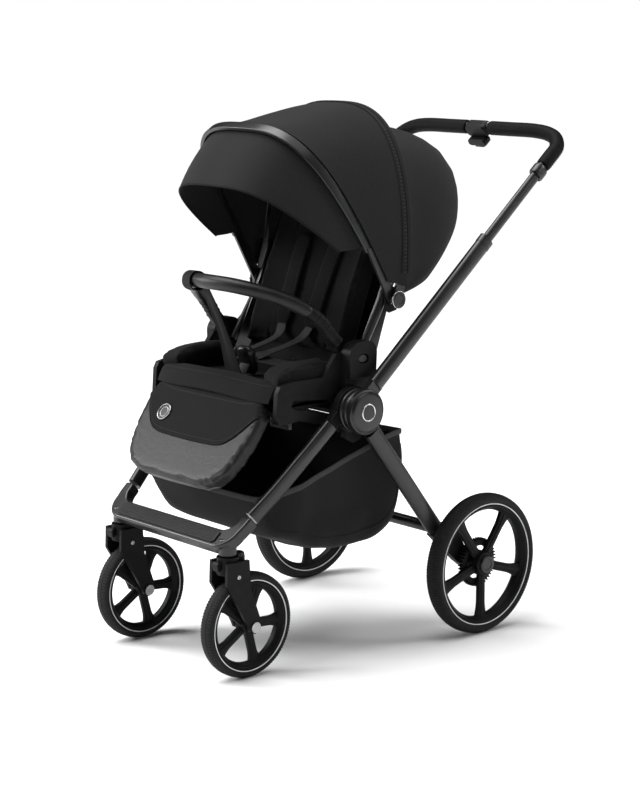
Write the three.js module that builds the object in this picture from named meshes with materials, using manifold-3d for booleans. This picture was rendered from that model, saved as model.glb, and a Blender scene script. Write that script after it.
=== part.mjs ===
// A pushchair with a reversible-style seat unit on a folding four-wheel chassis.
// Millimetres. +X is one side, -Y is the front, +Z is up, and the wheels stand on Z = 0.
import * as THREE from 'three';
import { mergeVertices } from 'three/addons/utils/BufferGeometryUtils.js';
import Module from 'manifold-3d';

const wasm = await Module();
wasm.setup();

// ---------------------------------------------------------------- driving dimensions

const GAP = 0.3;                       // clearance between pieces that touch
const SIDES = [['right', 1], ['left', -1]];

const FRONT_WHEEL = { x: 172, y: -364, radius: 106, width: 35, rim: 88, spokes: 5, phase: -4 };
const REAR_WHEEL = { x: 276, y: 189, radius: 149, width: 40, rim: 126, spokes: 5, phase: -18 };
const AXLE_RADIUS = 5;
const RUNNING_FIT = 0.09;              // radial clearance of a wheel on its axle

const SWIVEL = { y: -409, bottom: 215, top: 252, radius: 22 };
const FORK_LEG = { inner: 20.5, thickness: 7.5, axleBoss: 15 };

const HUB = { y: -131, z: 512, radius: 45, pin: 8 };
const HUB_LAYERS = {                   // how the folding members stack outwards along X
  adapter: [199.5, 213.5],
  housing: [214, 230.5],
  rearLeg: [231, 240.5],
  upperTube: [241, 255],
  cap: [255.5, 272],
};
const TUBE_START = 60;                 // radius at which the tubes clear the hub discs
const WALL = 2;                        // tube wall

const TUBE_SLOPE = THREE.MathUtils.degToRad(40.3);
const UPPER = { x: 247, offset: 10.5, height: 34, width: 23, end: 469 };
const PUSH = { height: 24, width: 16.6, insert: 300, straight: 718, collar: 676, bar: 784 };
const GRIP = { diameter: 31, start: 690, halfGap: 34 };
const CONSOLE_BORE = 13;

const FRONT_TUBE = { height: 32, width: 20.5, hubX: 223.6 };
const REAR_LEG = { x: 240, height: 37, width: 23, length: 352, slope: THREE.MathUtils.degToRad(-51.9) };
const CROSS_TUBE = { y: 83, z: 236, radius: 12 };

const RECLINE = { y: -104, z: 566 };   // hinge line of the backrest
const LEGREST = { y: -292, z: 525, halfWidth: 184, length: 200, thickness: 40 };
const BUTTON_TRAVEL = 3;
const CANOPY_PIVOT = { y: -4, z: 718 };
const BUMPER_PIVOT = { y: -133, z: 610 };

// canopy sections: lean is in degrees forward of upright, the outline is a superellipse
const FRONT_BOW = { lean: 32.7, half: 206, height: 398, power: 3.3, y: -10, z: 726 };
const MID_BOW = { lean: -3, half: 217, height: 372, power: 2.7, y: 14, z: 722 };

// ---------------------------------------------------------------- materials

const material = (color, roughness, metalness = 0) =>
  new THREE.MeshStandardMaterial({ color, roughness, metalness });

const FRAME = material(0x17181a, 0.38, 0.6);
const PLASTIC = material(0x141416, 0.55);
const RUBBER = material(0x101011, 0.85);
const FABRIC = material(0x1c1c1e, 0.95);
const LEATHER = material(0x202022, 0.5);
const STEEL = material(0x8a8c90, 0.3, 0.9);

// ---------------------------------------------------------------- solid helpers

const bare = (geometry) => {
  const copy = geometry.clone();
  copy.deleteAttribute('normal');
  copy.deleteAttribute('uv');
  return mergeVertices(copy, 1e-4);
};

const toSolid = (geometry) => {
  const merged = bare(geometry);
  return new wasm.Manifold(new wasm.Mesh({
    numProp: 3,
    vertProperties: new Float32Array(merged.attributes.position.array),
    triVerts: new Uint32Array(merged.index.array),
  }));
};

const toGeometry = (solid) => {
  const mesh = solid.getMesh();
  const geometry = new THREE.BufferGeometry();
  geometry.setAttribute('position', new THREE.BufferAttribute(mesh.vertProperties, 3));
  geometry.setIndex(new THREE.BufferAttribute(mesh.triVerts, 1));
  return geometry;
};

const join = (...pieces) => toGeometry(pieces.map(toSolid).reduce((sum, next) => sum.add(next)));

const cut = (body, ...tools) =>
  toGeometry(tools.map(toSolid).reduce((rest, tool) => rest.subtract(tool), toSolid(body)));

const warp = (geometry, move) => {
  const merged = bare(geometry);
  const position = merged.attributes.position;
  const point = new THREE.Vector3();
  for (let i = 0; i < position.count; i += 1) {
    point.fromBufferAttribute(position, i);
    move(point);
    position.setXYZ(i, point.x, point.y, point.z);
  }
  return merged;
};

const mirrorX = (geometry) => {
  const flipped = warp(geometry, (point) => { point.x = -point.x; });
  const index = flipped.index;
  for (let i = 0; i < index.count; i += 3) {
    const first = index.getX(i);
    index.setX(i, index.getX(i + 1));
    index.setX(i + 1, first);
  }
  return flipped;
};

const toSide = (geometry, side) => (side < 0 ? mirrorX(geometry) : geometry);

// ---------------------------------------------------------------- shape helpers

const ellipse = (across, along, sides = 8) => {
  const points = [];
  for (let i = 0; i < sides; i += 1) {
    const turn = (2 * Math.PI * (i + 0.5)) / sides;
    points.push(new THREE.Vector2(across * Math.cos(turn), along * Math.sin(turn)));
  }
  return new THREE.Shape(points);
};

const outline = (points) => new THREE.Shape(points.map(([a, b]) => new THREE.Vector2(a, b)));

// an outline in the Y-Z plane, extruded along X
const plateX = (shape, x0, x1, curveSegments = 8) => {
  const depth = x1 - x0;
  const geometry = new THREE.ExtrudeGeometry(shape, { depth, bevelEnabled: false, curveSegments });
  geometry.applyMatrix4(new THREE.Matrix4().makeBasis(
    new THREE.Vector3(0, 1, 0), new THREE.Vector3(0, 0, 1), new THREE.Vector3(1, 0, 0)));
  return geometry.translate(x0, 0, 0);
};

const discX = (radius, x0, x1, y, z, sides = 20) =>
  new THREE.CylinderGeometry(radius, radius, x1 - x0, sides)
    .rotateZ(-Math.PI / 2)
    .translate((x0 + x1) / 2, y, z);

const postZ = (radius, z0, z1, x, y, sides = 16) =>
  new THREE.CylinderGeometry(radius, radius, z1 - z0, sides)
    .rotateX(Math.PI / 2)
    .translate(x, y, (z0 + z1) / 2);

const box = (x0, x1, y0, y1, z0, z1) =>
  new THREE.BoxGeometry(x1 - x0, y1 - y0, z1 - z0)
    .translate((x0 + x1) / 2, (y0 + y1) / 2, (z0 + z1) / 2);

const curveThrough = (points) =>
  new THREE.CatmullRomCurve3(points.map((p) => new THREE.Vector3(...p)), false, 'centripetal');

// a tube along a curve: radii are [in the curve's side direction, across it]
const tube = (curve, across, along, steps, { wall = 0, sides = 8 } = {}) => {
  const section = ellipse(across, along, sides);
  if (wall > 0) {
    section.holes.push(ellipse(across - wall, along - wall, sides));
  }
  return new THREE.ExtrudeGeometry(section, { steps, bevelEnabled: false, extrudePath: curve });
};

// a thin closed sheet over surface(u, v), with u and v from 0 to 1
const sheet = (surface, uSteps, vSteps, thickness) => {
  const small = 1e-3;
  return warp(new THREE.BoxGeometry(1, 1, 1, uSteps, vSteps, 1), (point) => {
    const u = point.x + 0.5;
    const v = point.y + 0.5;
    const along = surface(Math.min(u + small, 1), v).sub(surface(Math.max(u - small, 0), v));
    const across = surface(u, Math.min(v + small, 1)).sub(surface(u, Math.max(v - small, 0)));
    const normal = along.cross(across).normalize();
    point.copy(surface(u, v).addScaledVector(normal, point.z * thickness));
  });
};

// a slab with rounded corners: half sizes in x and z, thickness in y, corner radius
const slab = (halfX, halfZ, thickness, radius, bevel = 6) => {
  const shape = new THREE.Shape();
  const [w, h, r] = [halfX - bevel, halfZ - bevel, radius];
  shape.moveTo(-w + r, -h).lineTo(w - r, -h).absarc(w - r, -h + r, r, -Math.PI / 2, 0);
  shape.lineTo(w, h - r).absarc(w - r, h - r, r, 0, Math.PI / 2);
  shape.lineTo(-w + r, h).absarc(-w + r, h - r, r, Math.PI / 2, Math.PI);
  shape.lineTo(-w, -h + r).absarc(-w + r, -h + r, r, Math.PI, 1.5 * Math.PI);
  const depth = thickness - 2 * bevel;
  const options = { depth, bevelSize: bevel, bevelThickness: bevel, bevelSegments: 1, curveSegments: 3 };
  return new THREE.ExtrudeGeometry(shape, options).translate(0, 0, -depth / 2).rotateX(Math.PI / 2);
};

// ---------------------------------------------------------------- the folding tubes' line

const alongUpper = (x, s, offset = UPPER.offset) => [
  x,
  HUB.y + s * Math.cos(TUBE_SLOPE) - offset * Math.sin(TUBE_SLOPE),
  HUB.z + s * Math.sin(TUBE_SLOPE) + offset * Math.cos(TUBE_SLOPE),
];

const neck = (angle, halfHeight, offset, [x0, x1]) =>
  box(x0, x1, 20, TUBE_START + 6, offset - halfHeight, offset + halfHeight)
    .rotateX(angle)
    .translate(0, HUB.y, HUB.z);

const hubBore = ([x0, x1]) => discX(HUB.pin + GAP, x0 - 1, x1 + 1, HUB.y, HUB.z, 16);

// ---------------------------------------------------------------- wheels

const wheelSides = (radius) => (radius > 120 ? 28 : 24);

function tyre({ radius, width, rim }) {
  const half = width / 2;
  const wall = radius - rim;
  const profile = [
    [rim, -half * 0.62], [rim + wall * 0.5, -half], [radius - wall * 0.1, -half * 0.62], [radius, 0],
    [radius - wall * 0.1, half * 0.62], [rim + wall * 0.5, half], [rim, half * 0.62], [rim, -half * 0.62],
  ].map(([r, x]) => new THREE.Vector2(r, x));
  return new THREE.LatheGeometry(profile, wheelSides(radius)).rotateZ(-Math.PI / 2);
}

function spoke(angle, rim, hubRadius, thickness) {
  const root = hubRadius * 0.5;
  const tip = rim - 8;
  const points = [[root, -9], [tip * 0.72, -9.5], [tip, -17], [tip, 17], [tip * 0.72, 9.5], [root, 9]];
  return plateX(outline(points), -thickness / 2, thickness / 2).rotateX(angle);
}

function wheelRim({ radius, width, rim, spokes, phase }) {
  const outer = rim - GAP;
  const band = width * 0.3;
  const large = radius > 120;
  const hubRadius = large ? 26 : 18;
  const hubHalf = width * 0.4;
  const ring = [
    [outer - 13, -band], [outer, -band * 1.3], [outer, band * 1.3], [outer - 13, band], [outer - 13, -band],
  ].map(([r, x]) => new THREE.Vector2(r, x));
  const pieces = [
    new THREE.LatheGeometry(ring, wheelSides(radius)).rotateZ(-Math.PI / 2),
    discX(hubRadius, -hubHalf, hubHalf, 0, 0, 20),
  ];
  for (let i = 0; i < spokes; i += 1) {
    const angle = THREE.MathUtils.degToRad(phase + (360 * i) / spokes);
    pieces.push(spoke(angle, outer, hubRadius, width * 0.36));
  }
  return cut(join(...pieces), discX(AXLE_RADIUS + RUNNING_FIT, -width, width, 0, 0, 20));
}

function frontAxle() {
  const end = FORK_LEG.inner + FORK_LEG.thickness;
  return join(
    discX(AXLE_RADIUS, -end, end + 0.5, 0, 0, 20),
    discX(11, end + GAP, end + 4, 0, 0, 20),
    discX(11, -end - 4, -end - GAP, 0, 0, 20),
    discX(AXLE_RADIUS - 1, -end - 2, end + 2, 0, 0, 20),
  );
}

function rearAxle() {
  const inner = 250 - REAR_WHEEL.x + GAP;
  const hubHalf = REAR_WHEEL.width * 0.4;
  return join(
    discX(AXLE_RADIUS, inner, hubHalf + 1, 0, 0, 20),
    discX(10, inner, -hubHalf - GAP, 0, 0, 20),
    discX(19, hubHalf + GAP, hubHalf + 3.5, 0, 0, 20),
  );
}

// ---------------------------------------------------------------- front casters

function casterFork() {
  const { y, bottom, top, radius } = SWIVEL;
  const axleY = FRONT_WHEEL.y;
  const axleZ = FRONT_WHEEL.radius;
  const { inner, thickness, axleBoss } = FORK_LEG;
  const leg = outline([
    [y - 22, top - 8], [y + 32, top - 8], [y + 34, bottom + 2], [y + 36, bottom - 30],
    [axleY + axleBoss + 1, axleZ + 8], [axleY + axleBoss - 4, axleZ - 9], [axleY, axleZ - 14],
    [axleY - axleBoss + 3, axleZ - 8], [axleY - axleBoss - 2, axleZ + 4],
    [axleY - 38, axleZ + 42], [y - 24, bottom - 16],
  ]);
  const outer = inner + thickness;
  const bolt = discX(AXLE_RADIUS + GAP, -outer - 1, outer + 1, axleY, axleZ, 20);
  return cut(join(
    postZ(radius, bottom + 2, top, 0, y),
    postZ(15, bottom + 4, top - 2, 0, y + 24),
    box(-outer, outer, y - 16, y + 32, bottom + 2, top - 10),
    plateX(leg, inner, outer),
    plateX(leg, -outer, -inner),
  ), bolt);
}

function casterLock() {
  const { y, top, radius } = SWIVEL;
  const shape = outline([
    [y - radius - 1, top - 24], [y - radius - 8, top - 26], [y - radius - 11, top - 12],
    [y - radius - 7, top - 6], [y - radius - 1, top - 8],
  ]);
  return plateX(shape, -9, 9);
}

// ---------------------------------------------------------------- chassis front

function frontTube() {
  const start = HUB.y - TUBE_START * Math.cos(TUBE_SLOPE) - 18 * Math.sin(TUBE_SLOPE);
  const startZ = HUB.z - TUBE_START * Math.sin(TUBE_SLOPE) + 18 * Math.cos(TUBE_SLOPE);
  const path = curveThrough([
    [FRONT_TUBE.hubX, start, startZ], [217, -251, 430], [202, -312, 368], [190, -362.6, 322],
  ]);
  return tube(path, FRONT_TUBE.width / 2, FRONT_TUBE.height / 2, 8, { wall: WALL });
}

// what is drawn in the crossbar's own plane: x across, y down the slope, -z out of its top
const CROSSBAR = { y: -365, z: 319, half: 13 };
const toCrossbar = (geometry) => {
  const across = new THREE.Vector3(1, 0, 0);
  const down = new THREE.Vector3(0, -Math.cos(TUBE_SLOPE), -Math.sin(TUBE_SLOPE));
  const slope = new THREE.Matrix4().makeBasis(across, down, across.clone().cross(down));
  return geometry.applyMatrix4(slope).translate(0, CROSSBAR.y, CROSSBAR.z);
};

// the flat U that joins the two front tubes
function frontCrossbar() {
  const shape = new THREE.Shape();
  shape.moveTo(178, 0).lineTo(202, 0).lineTo(201, 22).lineTo(198, 40);
  shape.absarc(153, 40, 45, 0, Math.PI / 2).lineTo(-153, 85);
  shape.absarc(-153, 40, 45, Math.PI / 2, Math.PI).lineTo(-201, 22).lineTo(-202, 0).lineTo(-178, 0);
  shape.lineTo(-176, 12).absarc(-146, 12, 30, Math.PI, Math.PI / 2, true);
  shape.lineTo(146, 42).absarc(146, 12, 30, Math.PI / 2, 0, true);
  const bevel = { bevelSize: 4, bevelThickness: 5, bevelOffset: -4, bevelSegments: 1 };
  const depth = 2 * (CROSSBAR.half - bevel.bevelThickness);
  const plate = toCrossbar(new THREE.ExtrudeGeometry(shape, { depth, curveSegments: 4, ...bevel })
    .translate(0, 0, -depth / 2));
  const stems = SIDES.map(([, side]) =>
    postZ(18, SWIVEL.top + GAP, 284, side * FRONT_WHEEL.x, SWIVEL.y));
  return join(plate, ...stems);
}

// the soft tread that lies on the crossbar
function footrestPad() {
  const depth = 3;
  const shape = outline([[-150, 47], [150, 47], [158, 52], [158, 72], [150, 78],
    [-150, 78], [-158, 72], [-158, 52]]);
  return toCrossbar(new THREE.ExtrudeGeometry(shape, { depth, bevelEnabled: false })
    .translate(0, 0, -CROSSBAR.half - GAP - depth));
}

// ---------------------------------------------------------------- folding hub

function hubHousing() {
  const [x0, x1] = HUB_LAYERS.housing;
  const angle = Math.PI + TUBE_SLOPE;
  return cut(join(
    discX(HUB.radius + 1, x0, x1, HUB.y, HUB.z, 24),
    neck(angle, 13, -18, [x0, x1]),
  ), box(x0 - 1, x1 + 1, TUBE_START - 1.2, 90, -60, 60).rotateX(angle).translate(0, HUB.y, HUB.z),
  hubBore([x0, x1]));
}

function hubCap() {
  const [x0, x1] = HUB_LAYERS.cap;
  const dome = new THREE.LatheGeometry([
    [0, 0], [HUB.radius, 0], [HUB.radius, 11], [HUB.radius - 6, x1 - x0], [0, x1 - x0],
  ].map(([r, h]) => new THREE.Vector2(r, h)), 24)
    .rotateZ(-Math.PI / 2)
    .translate(x0, HUB.y, HUB.z);
  return join(dome, discX(HUB.pin, HUB_LAYERS.housing[0] + 2, x0 + 1, HUB.y, HUB.z, 20));
}

// ---------------------------------------------------------------- rear legs

function rearLeg() {
  const [x0, x1] = HUB_LAYERS.rearLeg;
  const straight = new THREE.LineCurve3(new THREE.Vector3(), new THREE.Vector3());
  const point = (s) => new THREE.Vector3(
    REAR_LEG.x, HUB.y + s * Math.cos(REAR_LEG.slope), HUB.z + s * Math.sin(REAR_LEG.slope));
  straight.v1 = point(TUBE_START);
  straight.v2 = point(REAR_LEG.length);
  return cut(join(
    discX(HUB.radius - 1, x0, x1, HUB.y, HUB.z, 24),
    neck(REAR_LEG.slope, 16, 0, [x0, x1]),
    tube(straight, REAR_LEG.width / 2, REAR_LEG.height / 2, 1, { wall: WALL }),
  ), hubBore([x0, x1]));
}

function axleBlock() {
  const axle = { y: REAR_WHEEL.y, z: REAR_WHEEL.radius };
  const start = REAR_LEG.length + GAP;
  const along = [Math.cos(REAR_LEG.slope), Math.sin(REAR_LEG.slope)];
  const end = [HUB.y + start * along[0], HUB.z + start * along[1]];
  const half = REAR_LEG.height / 2 + 1;
  const top = [end[0] - half * along[1], end[1] + half * along[0]];
  const low = [end[0] + half * along[1], end[1] - half * along[0]];
  const shape = outline([
    low, [end[0] + 22, end[1] - 46], [axle.y - 42, axle.z + 4], [axle.y - 18, axle.z - 14],
    [axle.y, axle.z - 20], [axle.y + 16, axle.z - 12], [axle.y + 20, axle.z + 3],
    [axle.y + 12, axle.z + 18], [axle.y - 22, axle.z + 38], [end[0] + 62, end[1] - 18], top,
  ]);
  return plateX(shape, 229.5, 250);
}

function rearCrossTube() {
  const reach = REAR_LEG.x - REAR_LEG.width / 2 - GAP;
  const { y, z, radius } = CROSS_TUBE;
  const bore = discX(radius - WALL, -reach - 1, reach + 1, y, z, 20);
  const lugs = [-40, 30].map((x) => plateX(outline([
    [y + 4, z - 9], [y + 30, z - 12], [y + 36, z - 4], [y + 30, z + 6], [y + 4, z + 9]]), x, x + 10));
  return cut(join(discX(radius, -reach, reach, y, z, 20), ...lugs), bore);
}

function brakePedal() {
  const { y, z } = CROSS_TUBE;
  return plateX(outline([
    [y + 18, z - 3], [y + 60, z + 6], [y + 66, z + 3], [y + 66, z - 3], [y + 30, z - 11],
    [y + 18, z - 10]]), -29, 29);
}

// ---------------------------------------------------------------- handle

function upperTube() {
  const [x0, x1] = HUB_LAYERS.upperTube;
  const line = new THREE.LineCurve3(
    new THREE.Vector3(...alongUpper(UPPER.x, TUBE_START)),
    new THREE.Vector3(...alongUpper(UPPER.x, UPPER.end)));
  return cut(join(
    discX(HUB.radius - 1, x0, x1, HUB.y, HUB.z, 24),
    neck(TUBE_SLOPE, 15, UPPER.offset, [x0, x1]),
    tube(line, UPPER.width / 2, UPPER.height / 2, 1, { wall: WALL }),
  ), hubBore([x0, x1]));
}

// one half of the U-shaped push bar, from its arm to its middle: [x, along, offset]
const barPath = (from) => {
  const { bar, straight } = PUSH;
  const half = [
    ...[0, 0.5, 0.8, 1].map((part) => [UPPER.x, from + (straight - from) * part, UPPER.offset]),
    [243, bar - 34, 9], [225, bar - 12, 12], [200, bar - 3, 16], [165, bar, 19], [80, bar, 20],
  ];
  const other = half.map(([x, along, offset]) => [-x, along, offset]).reverse();
  return curveThrough([...half, ...other].map((point) => alongUpper(...point)));
};

function pushBar() {
  const bar = tube(barPath(PUSH.insert), PUSH.width / 2, PUSH.height / 2, 56, { sides: 8 });
  const collars = SIDES.map(([, side]) => {
    const line = new THREE.LineCurve3(
      new THREE.Vector3(...alongUpper(side * UPPER.x, PUSH.collar - 16)),
      new THREE.Vector3(...alongUpper(side * UPPER.x, PUSH.collar + 8)));
    return tube(line, 13, 17, 1, { sides: 10 });
  });
  return join(bar, ...collars);
}

function grip() {
  const full = barPath(GRIP.start);
  const length = full.getLength();
  const end = (length / 2 - GRIP.halfGap) / length;
  const points = [];
  for (let i = 0; i <= 14; i += 1) {
    points.push(full.getPointAt((end * i) / 14));
  }
  const section = ellipse(GRIP.diameter / 2, GRIP.diameter / 2, 10);
  section.holes.push(ellipse(PUSH.width / 2 + 2.6, PUSH.height / 2 + 2.2, 8));
  const path = new THREE.CatmullRomCurve3(points, false, 'centripetal');
  return new THREE.ExtrudeGeometry(section, { steps: 20, bevelEnabled: false, extrudePath: path });
}

// the release housing that wraps the middle of the push bar
const CONSOLE = { along: PUSH.bar - 2.5, offset: 20, underside: -30, buttonAlong: -16 };

const toConsole = (geometry) =>
  geometry.rotateX(TUBE_SLOPE).translate(...alongUpper(0, CONSOLE.along, CONSOLE.offset));

function handleConsole() {
  const { underside, buttonAlong } = CONSOLE;
  const wrap = toConsole(slab(GRIP.halfGap - 2, 15.5, 27, 8, 4));
  const low = toConsole(slab(27, 9, 22, 6, 3).translate(0, buttonAlong, underside + 9));
  const pocket = toConsole(box(-16, 16, buttonAlong - 9.2, buttonAlong + 9.2,
    underside - 1, underside + BUTTON_TRAVEL + GAP));
  const [, barY, barZ] = alongUpper(0, PUSH.bar, CONSOLE.offset);
  return cut(join(wrap, low), pocket, discX(CONSOLE_BORE, -60, 60, barY, barZ, 20));
}

function handleButton() {
  const thickness = 5;
  return toConsole(slab(15, 8.5, thickness, 4, 1.5).rotateX(Math.PI / 2)
    .translate(0, CONSOLE.buttonAlong, CONSOLE.underside - thickness / 2));
}

// ---------------------------------------------------------------- seat unit

const ADAPTER_BUTTON = { x: 217.8, y: -102, z: 610, thickness: 5.4 };

function seatAdapter() {
  const [x0, x1] = HUB_LAYERS.adapter;
  const plate = new THREE.Shape();
  plate.moveTo(-139, 452).lineTo(-118, 440).lineTo(-96, 446).lineTo(-70, 560).lineTo(-66, 620);
  plate.absarc(-91, 620, 25, 0, Math.PI / 2).lineTo(-112, 645);
  plate.absarc(-112, 618, 27, Math.PI / 2, Math.PI).lineTo(-139, 452);
  const block = new THREE.Shape();
  block.moveTo(-138, 572).lineTo(-68, 572).lineTo(-66, 620);
  block.absarc(-91, 620, 25, 0, Math.PI / 2).lineTo(-112, 645);
  block.absarc(-112, 618, 27, Math.PI / 2, Math.PI);
  const { x, y: buttonY, z: buttonZ } = ADAPTER_BUTTON;
  const recess = plateX(ellipse(14, 10, 16), x - BUTTON_TRAVEL - GAP, 227).translate(0, buttonY, buttonZ);
  return cut(join(plateX(plate, x0, x1, 5), plateX(block, x1 - 1, 226, 5)), recess);
}

function adapterButton() {
  const { x, y, z, thickness } = ADAPTER_BUTTON;
  return plateX(ellipse(11, 7.5, 16), x, x + thickness).translate(0, y, z);
}

function seatFrame() {
  const wing = outline([
    [-307, 508], [-303, 560], [-296, 573], [-262, 579], [-185, 578], [-150, 622], [-112, 628],
    [-108, 585], [-122, 560], [-112, 446], [-140, 462], [-170, 480], [-250, 500], [-282, 496],
    [-298, 498],
  ]);
  const slot = outline([[-268, 530], [-262, 542], [-170, 532], [-158, 520], [-160, 502], [-258, 523]]);
  const slottedWing = (x0, x1) => cut(plateX(wing, x0, x1), plateX(slot, x0 - 1, x1 + 1));
  const pan = outline([[-272, 519], [-268, 527], [-130, 527], [-128, 519]]);
  return join(
    slottedWing(187, 199),
    slottedWing(-199, -187),
    plateX(pan, -190, 190),
    discX(8, -190, 190, -140, 505, 14),
    discX(8, -190, 190, -250, 505, 14),
  );
}

function seatCushion() {
  const side = outline([
    [-268, 528], [-282, 554], [-296, 575], [-292, 592], [-276, 603], [-240, 608], [-196, 606],
    [-150, 611], [-146, 528],
  ]);
  const base = outline([
    [-266, 528], [-272, 545], [-286, 553], [-291, 562], [-284, 569], [-268, 568], [-250, 561],
    [-140, 553], [-138, 528],
  ]);
  return join(plateX(base, -150, 150), plateX(side, 138, 184), plateX(side, -184, -138));
}

function crotchBuckle() {
  const pad = slab(24, 30, 16, 10, 5).rotateX(0.25).translate(0, -214, 592);
  return cut(pad, box(-30, 30, -260, -160, 500, 561));
}

// ---------------------------------------------------------------- backrest

// points up the middle of the backrest board: [y, z]
const BACK_LINE = [[-72, 592], [-50, 660], [-16, 750], [30, 850], [66, 945]];

const backCurve = (shift) => curveThrough(BACK_LINE.map(([y, z]) => [0, y + shift, z]));

function backPoint(shift, v, x) {
  const point = backCurve(shift).getPoint(v);
  point.x = x;
  return point;
}

function backFrame() {
  const rail = tube(curveThrough([
    [192, RECLINE.y + 10, RECLINE.z + 32], [192, -66, 640], [190, -24, 708], [187, 20, 800], [180, 64, 900],
    [150, 92, 956], [90, 96, 968], [0, 96, 970], [-90, 96, 968], [-150, 92, 956],
    [-180, 64, 900], [-187, 20, 800], [-190, -24, 708], [-192, -66, 640],
    [-192, RECLINE.y + 10, RECLINE.z + 32],
  ]), 7, 10, 24, { sides: 6 });
  const board = sheet((u, v) => backPoint(34, v, (185 - 14 * v) * (1 - 2 * u)), 2, 6, 5);
  const cheek = plateX(outline([
    [RECLINE.y + 4, RECLINE.z + 8], [-70, 640], [-28, 720], [6, 800], [52, 880],
    [62, 868], [42, 800], [12, 740], [-16, 660], [-40, 590], [RECLINE.y + 20, RECLINE.z]]), 183, 189);
  const eye = discX(14, 183, 186.5, RECLINE.y, RECLINE.z, 16);
  return join(rail, board, cheek, eye, mirrorX(cheek), mirrorX(eye));
}

function backrestPad() {
  return sheet((u, v) => {
    const edge = Math.abs(2 * u - 1);
    const wing = 26 * edge ** 4;
    return backPoint(4 - wing, v, 160 - 320 * u);
  }, 8, 7, 44);
}

function canopyHinge() {
  const { y, z } = CANOPY_PIVOT;
  const body = outline([
    [y - 22, z - 20], [y - 8, z - 28], [y + 12, z - 24], [y + 24, z - 4], [y + 20, z + 18],
    [y, z + 26], [y - 20, z + 14],
  ]);
  return join(plateX(body, 200.6, 204), discX(6, 203, 220.5, y, z, 16));
}

function harness() {
  return sheet((u, v) => backPoint(-29, 0.16 + 0.5 * v, 74 - 44 * u - 6 * v), 2, 6, 7);
}

// ---------------------------------------------------------------- legrest and bumper bar

const LEG_LEAN = THREE.MathUtils.degToRad(36);

function legrestPad() {
  const { y, z, halfWidth, length, thickness } = LEGREST;
  const half = [
    [150, 14], [172, 5], [halfWidth - 1, -36], [halfWidth, -80], [173, -138], [157, -170], [128, -193],
    [90, -length],
  ];
  const shape = outline([...half, ...half.map(([x, up]) => [-x, up]).reverse()]);
  const bevel = { bevelSize: 8, bevelThickness: 8, bevelOffset: -8, bevelSegments: 1 };
  const depth = thickness - 2 * bevel.bevelThickness;
  const pad = new THREE.ExtrudeGeometry(shape, { depth, ...bevel })
    .translate(0, 0, -depth / 2)
    .rotateX(Math.PI / 2 - LEG_LEAN)
    .translate(0, y - 6, z + 4);
  const arms = SIDES.map(([, side]) => join(
    discX(17, 171, 186.7, y, z, 20),
    box(150, 180, -8, 8, -50, 4).rotateX(-LEG_LEAN).translate(0, y, z),
  )).map((arm, i) => toSide(arm, SIDES[i][1]));
  return join(pad, ...arms);
}

function legrestLever() {
  const loop = new THREE.Shape();
  loop.moveTo(-28, -14).lineTo(28, -14).lineTo(28, 0).absarc(14, 0, 14, 0, Math.PI / 2);
  loop.lineTo(-14, 14).absarc(-14, 0, 14, Math.PI / 2, Math.PI);
  const hole = new THREE.Path();
  hole.moveTo(-20, -6).lineTo(20, -6).lineTo(20, 0).absarc(13, 0, 7, 0, Math.PI / 2);
  hole.lineTo(-13, 7).absarc(-13, 0, 7, Math.PI / 2, Math.PI);
  loop.holes.push(hole);
  return new THREE.ExtrudeGeometry(loop, { depth: 9, bevelEnabled: false, curveSegments: 4 })
    .rotateX(Math.PI / 2)
    .translate(130, -232, 488);
}

function bumperBar() {
  const { y, z } = BUMPER_PIVOT;
  const path = curveThrough([
    [184, y - 4, z + 32], [183, -150, 655], [178, -172, 684], [164, -205, 712], [130, -248, 738],
    [70, -296, 756], [0, -312, 760],
    [-70, -296, 756], [-130, -248, 738], [-164, -205, 712], [-178, -172, 684],
    [-183, -150, 655], [-184, y - 4, z + 32],
  ]);
  return tube(path, 15, 15, 22, { sides: 8 });
}

function bumperStrap() {
  const path = (v) => new THREE.Vector3(-58 + 60 * v, -312 + 60 * v, 738 - 172 * v);
  return sheet((u, v) => path(v).add(new THREE.Vector3(26 - 52 * u, 0, 0)), 2, 6, 5);
}

// ---------------------------------------------------------------- canopy

function archPoint({ lean, half, height, power, y, z }, t, grow = 0) {
  const turn = t * Math.PI;
  const shaped = (value, size) => Math.sign(value) * (size + grow) * Math.abs(value) ** (2 / power);
  const across = shaped(Math.cos(turn), half);
  const up = shaped(Math.sin(turn), height);
  const tilt = THREE.MathUtils.degToRad(lean);
  return new THREE.Vector3(across, y - up * Math.sin(tilt), z + up * Math.cos(tilt));
}

function bow(arch, across, along) {
  const path = curveThrough([...Array(17).keys()].map((i) => {
    const t = 0.5 - 0.5 * Math.cos((Math.PI * (i / 16 * 0.92 + 0.04)));
    return archPoint(arch, t).toArray();
  }));
  return tube(path, across, along, 22, { sides: 6 });
}

function bowEyes(x0, x1, reachY, reachZ) {
  const { y, z } = CANOPY_PIVOT;
  const arm = outline([
    [y - 14, z - 8], [y + 14, z - 8], [reachY + 9, reachZ + 4], [reachY - 9, reachZ + 4],
  ]);
  const bore = discX(6 + GAP, x0 - 1, x1 + 1, y, z, 16);
  return cut(join(discX(15, x0, x1, y, z, 20), plateX(arm, x0, x1)), bore);
}

function canopyBow(arch, x0, x1, across, along) {
  const foot = archPoint(arch, 0.04);
  const eye = bowEyes(x0, x1, foot.y, foot.z);
  return join(bow(arch, across, along), eye, mirrorX(eye));
}

const blendArch = (a, b, v, dip = 0) => ({
  lean: a.lean + (b.lean - a.lean) * v,
  half: a.half + (b.half - a.half) * v,
  height: a.height + (b.height - a.height) * v - dip * Math.sin(Math.PI * v),
  power: a.power + (b.power - a.power) * v,
  y: a.y + (b.y - a.y) * v,
  z: a.z + (b.z - a.z) * v,
});

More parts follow.
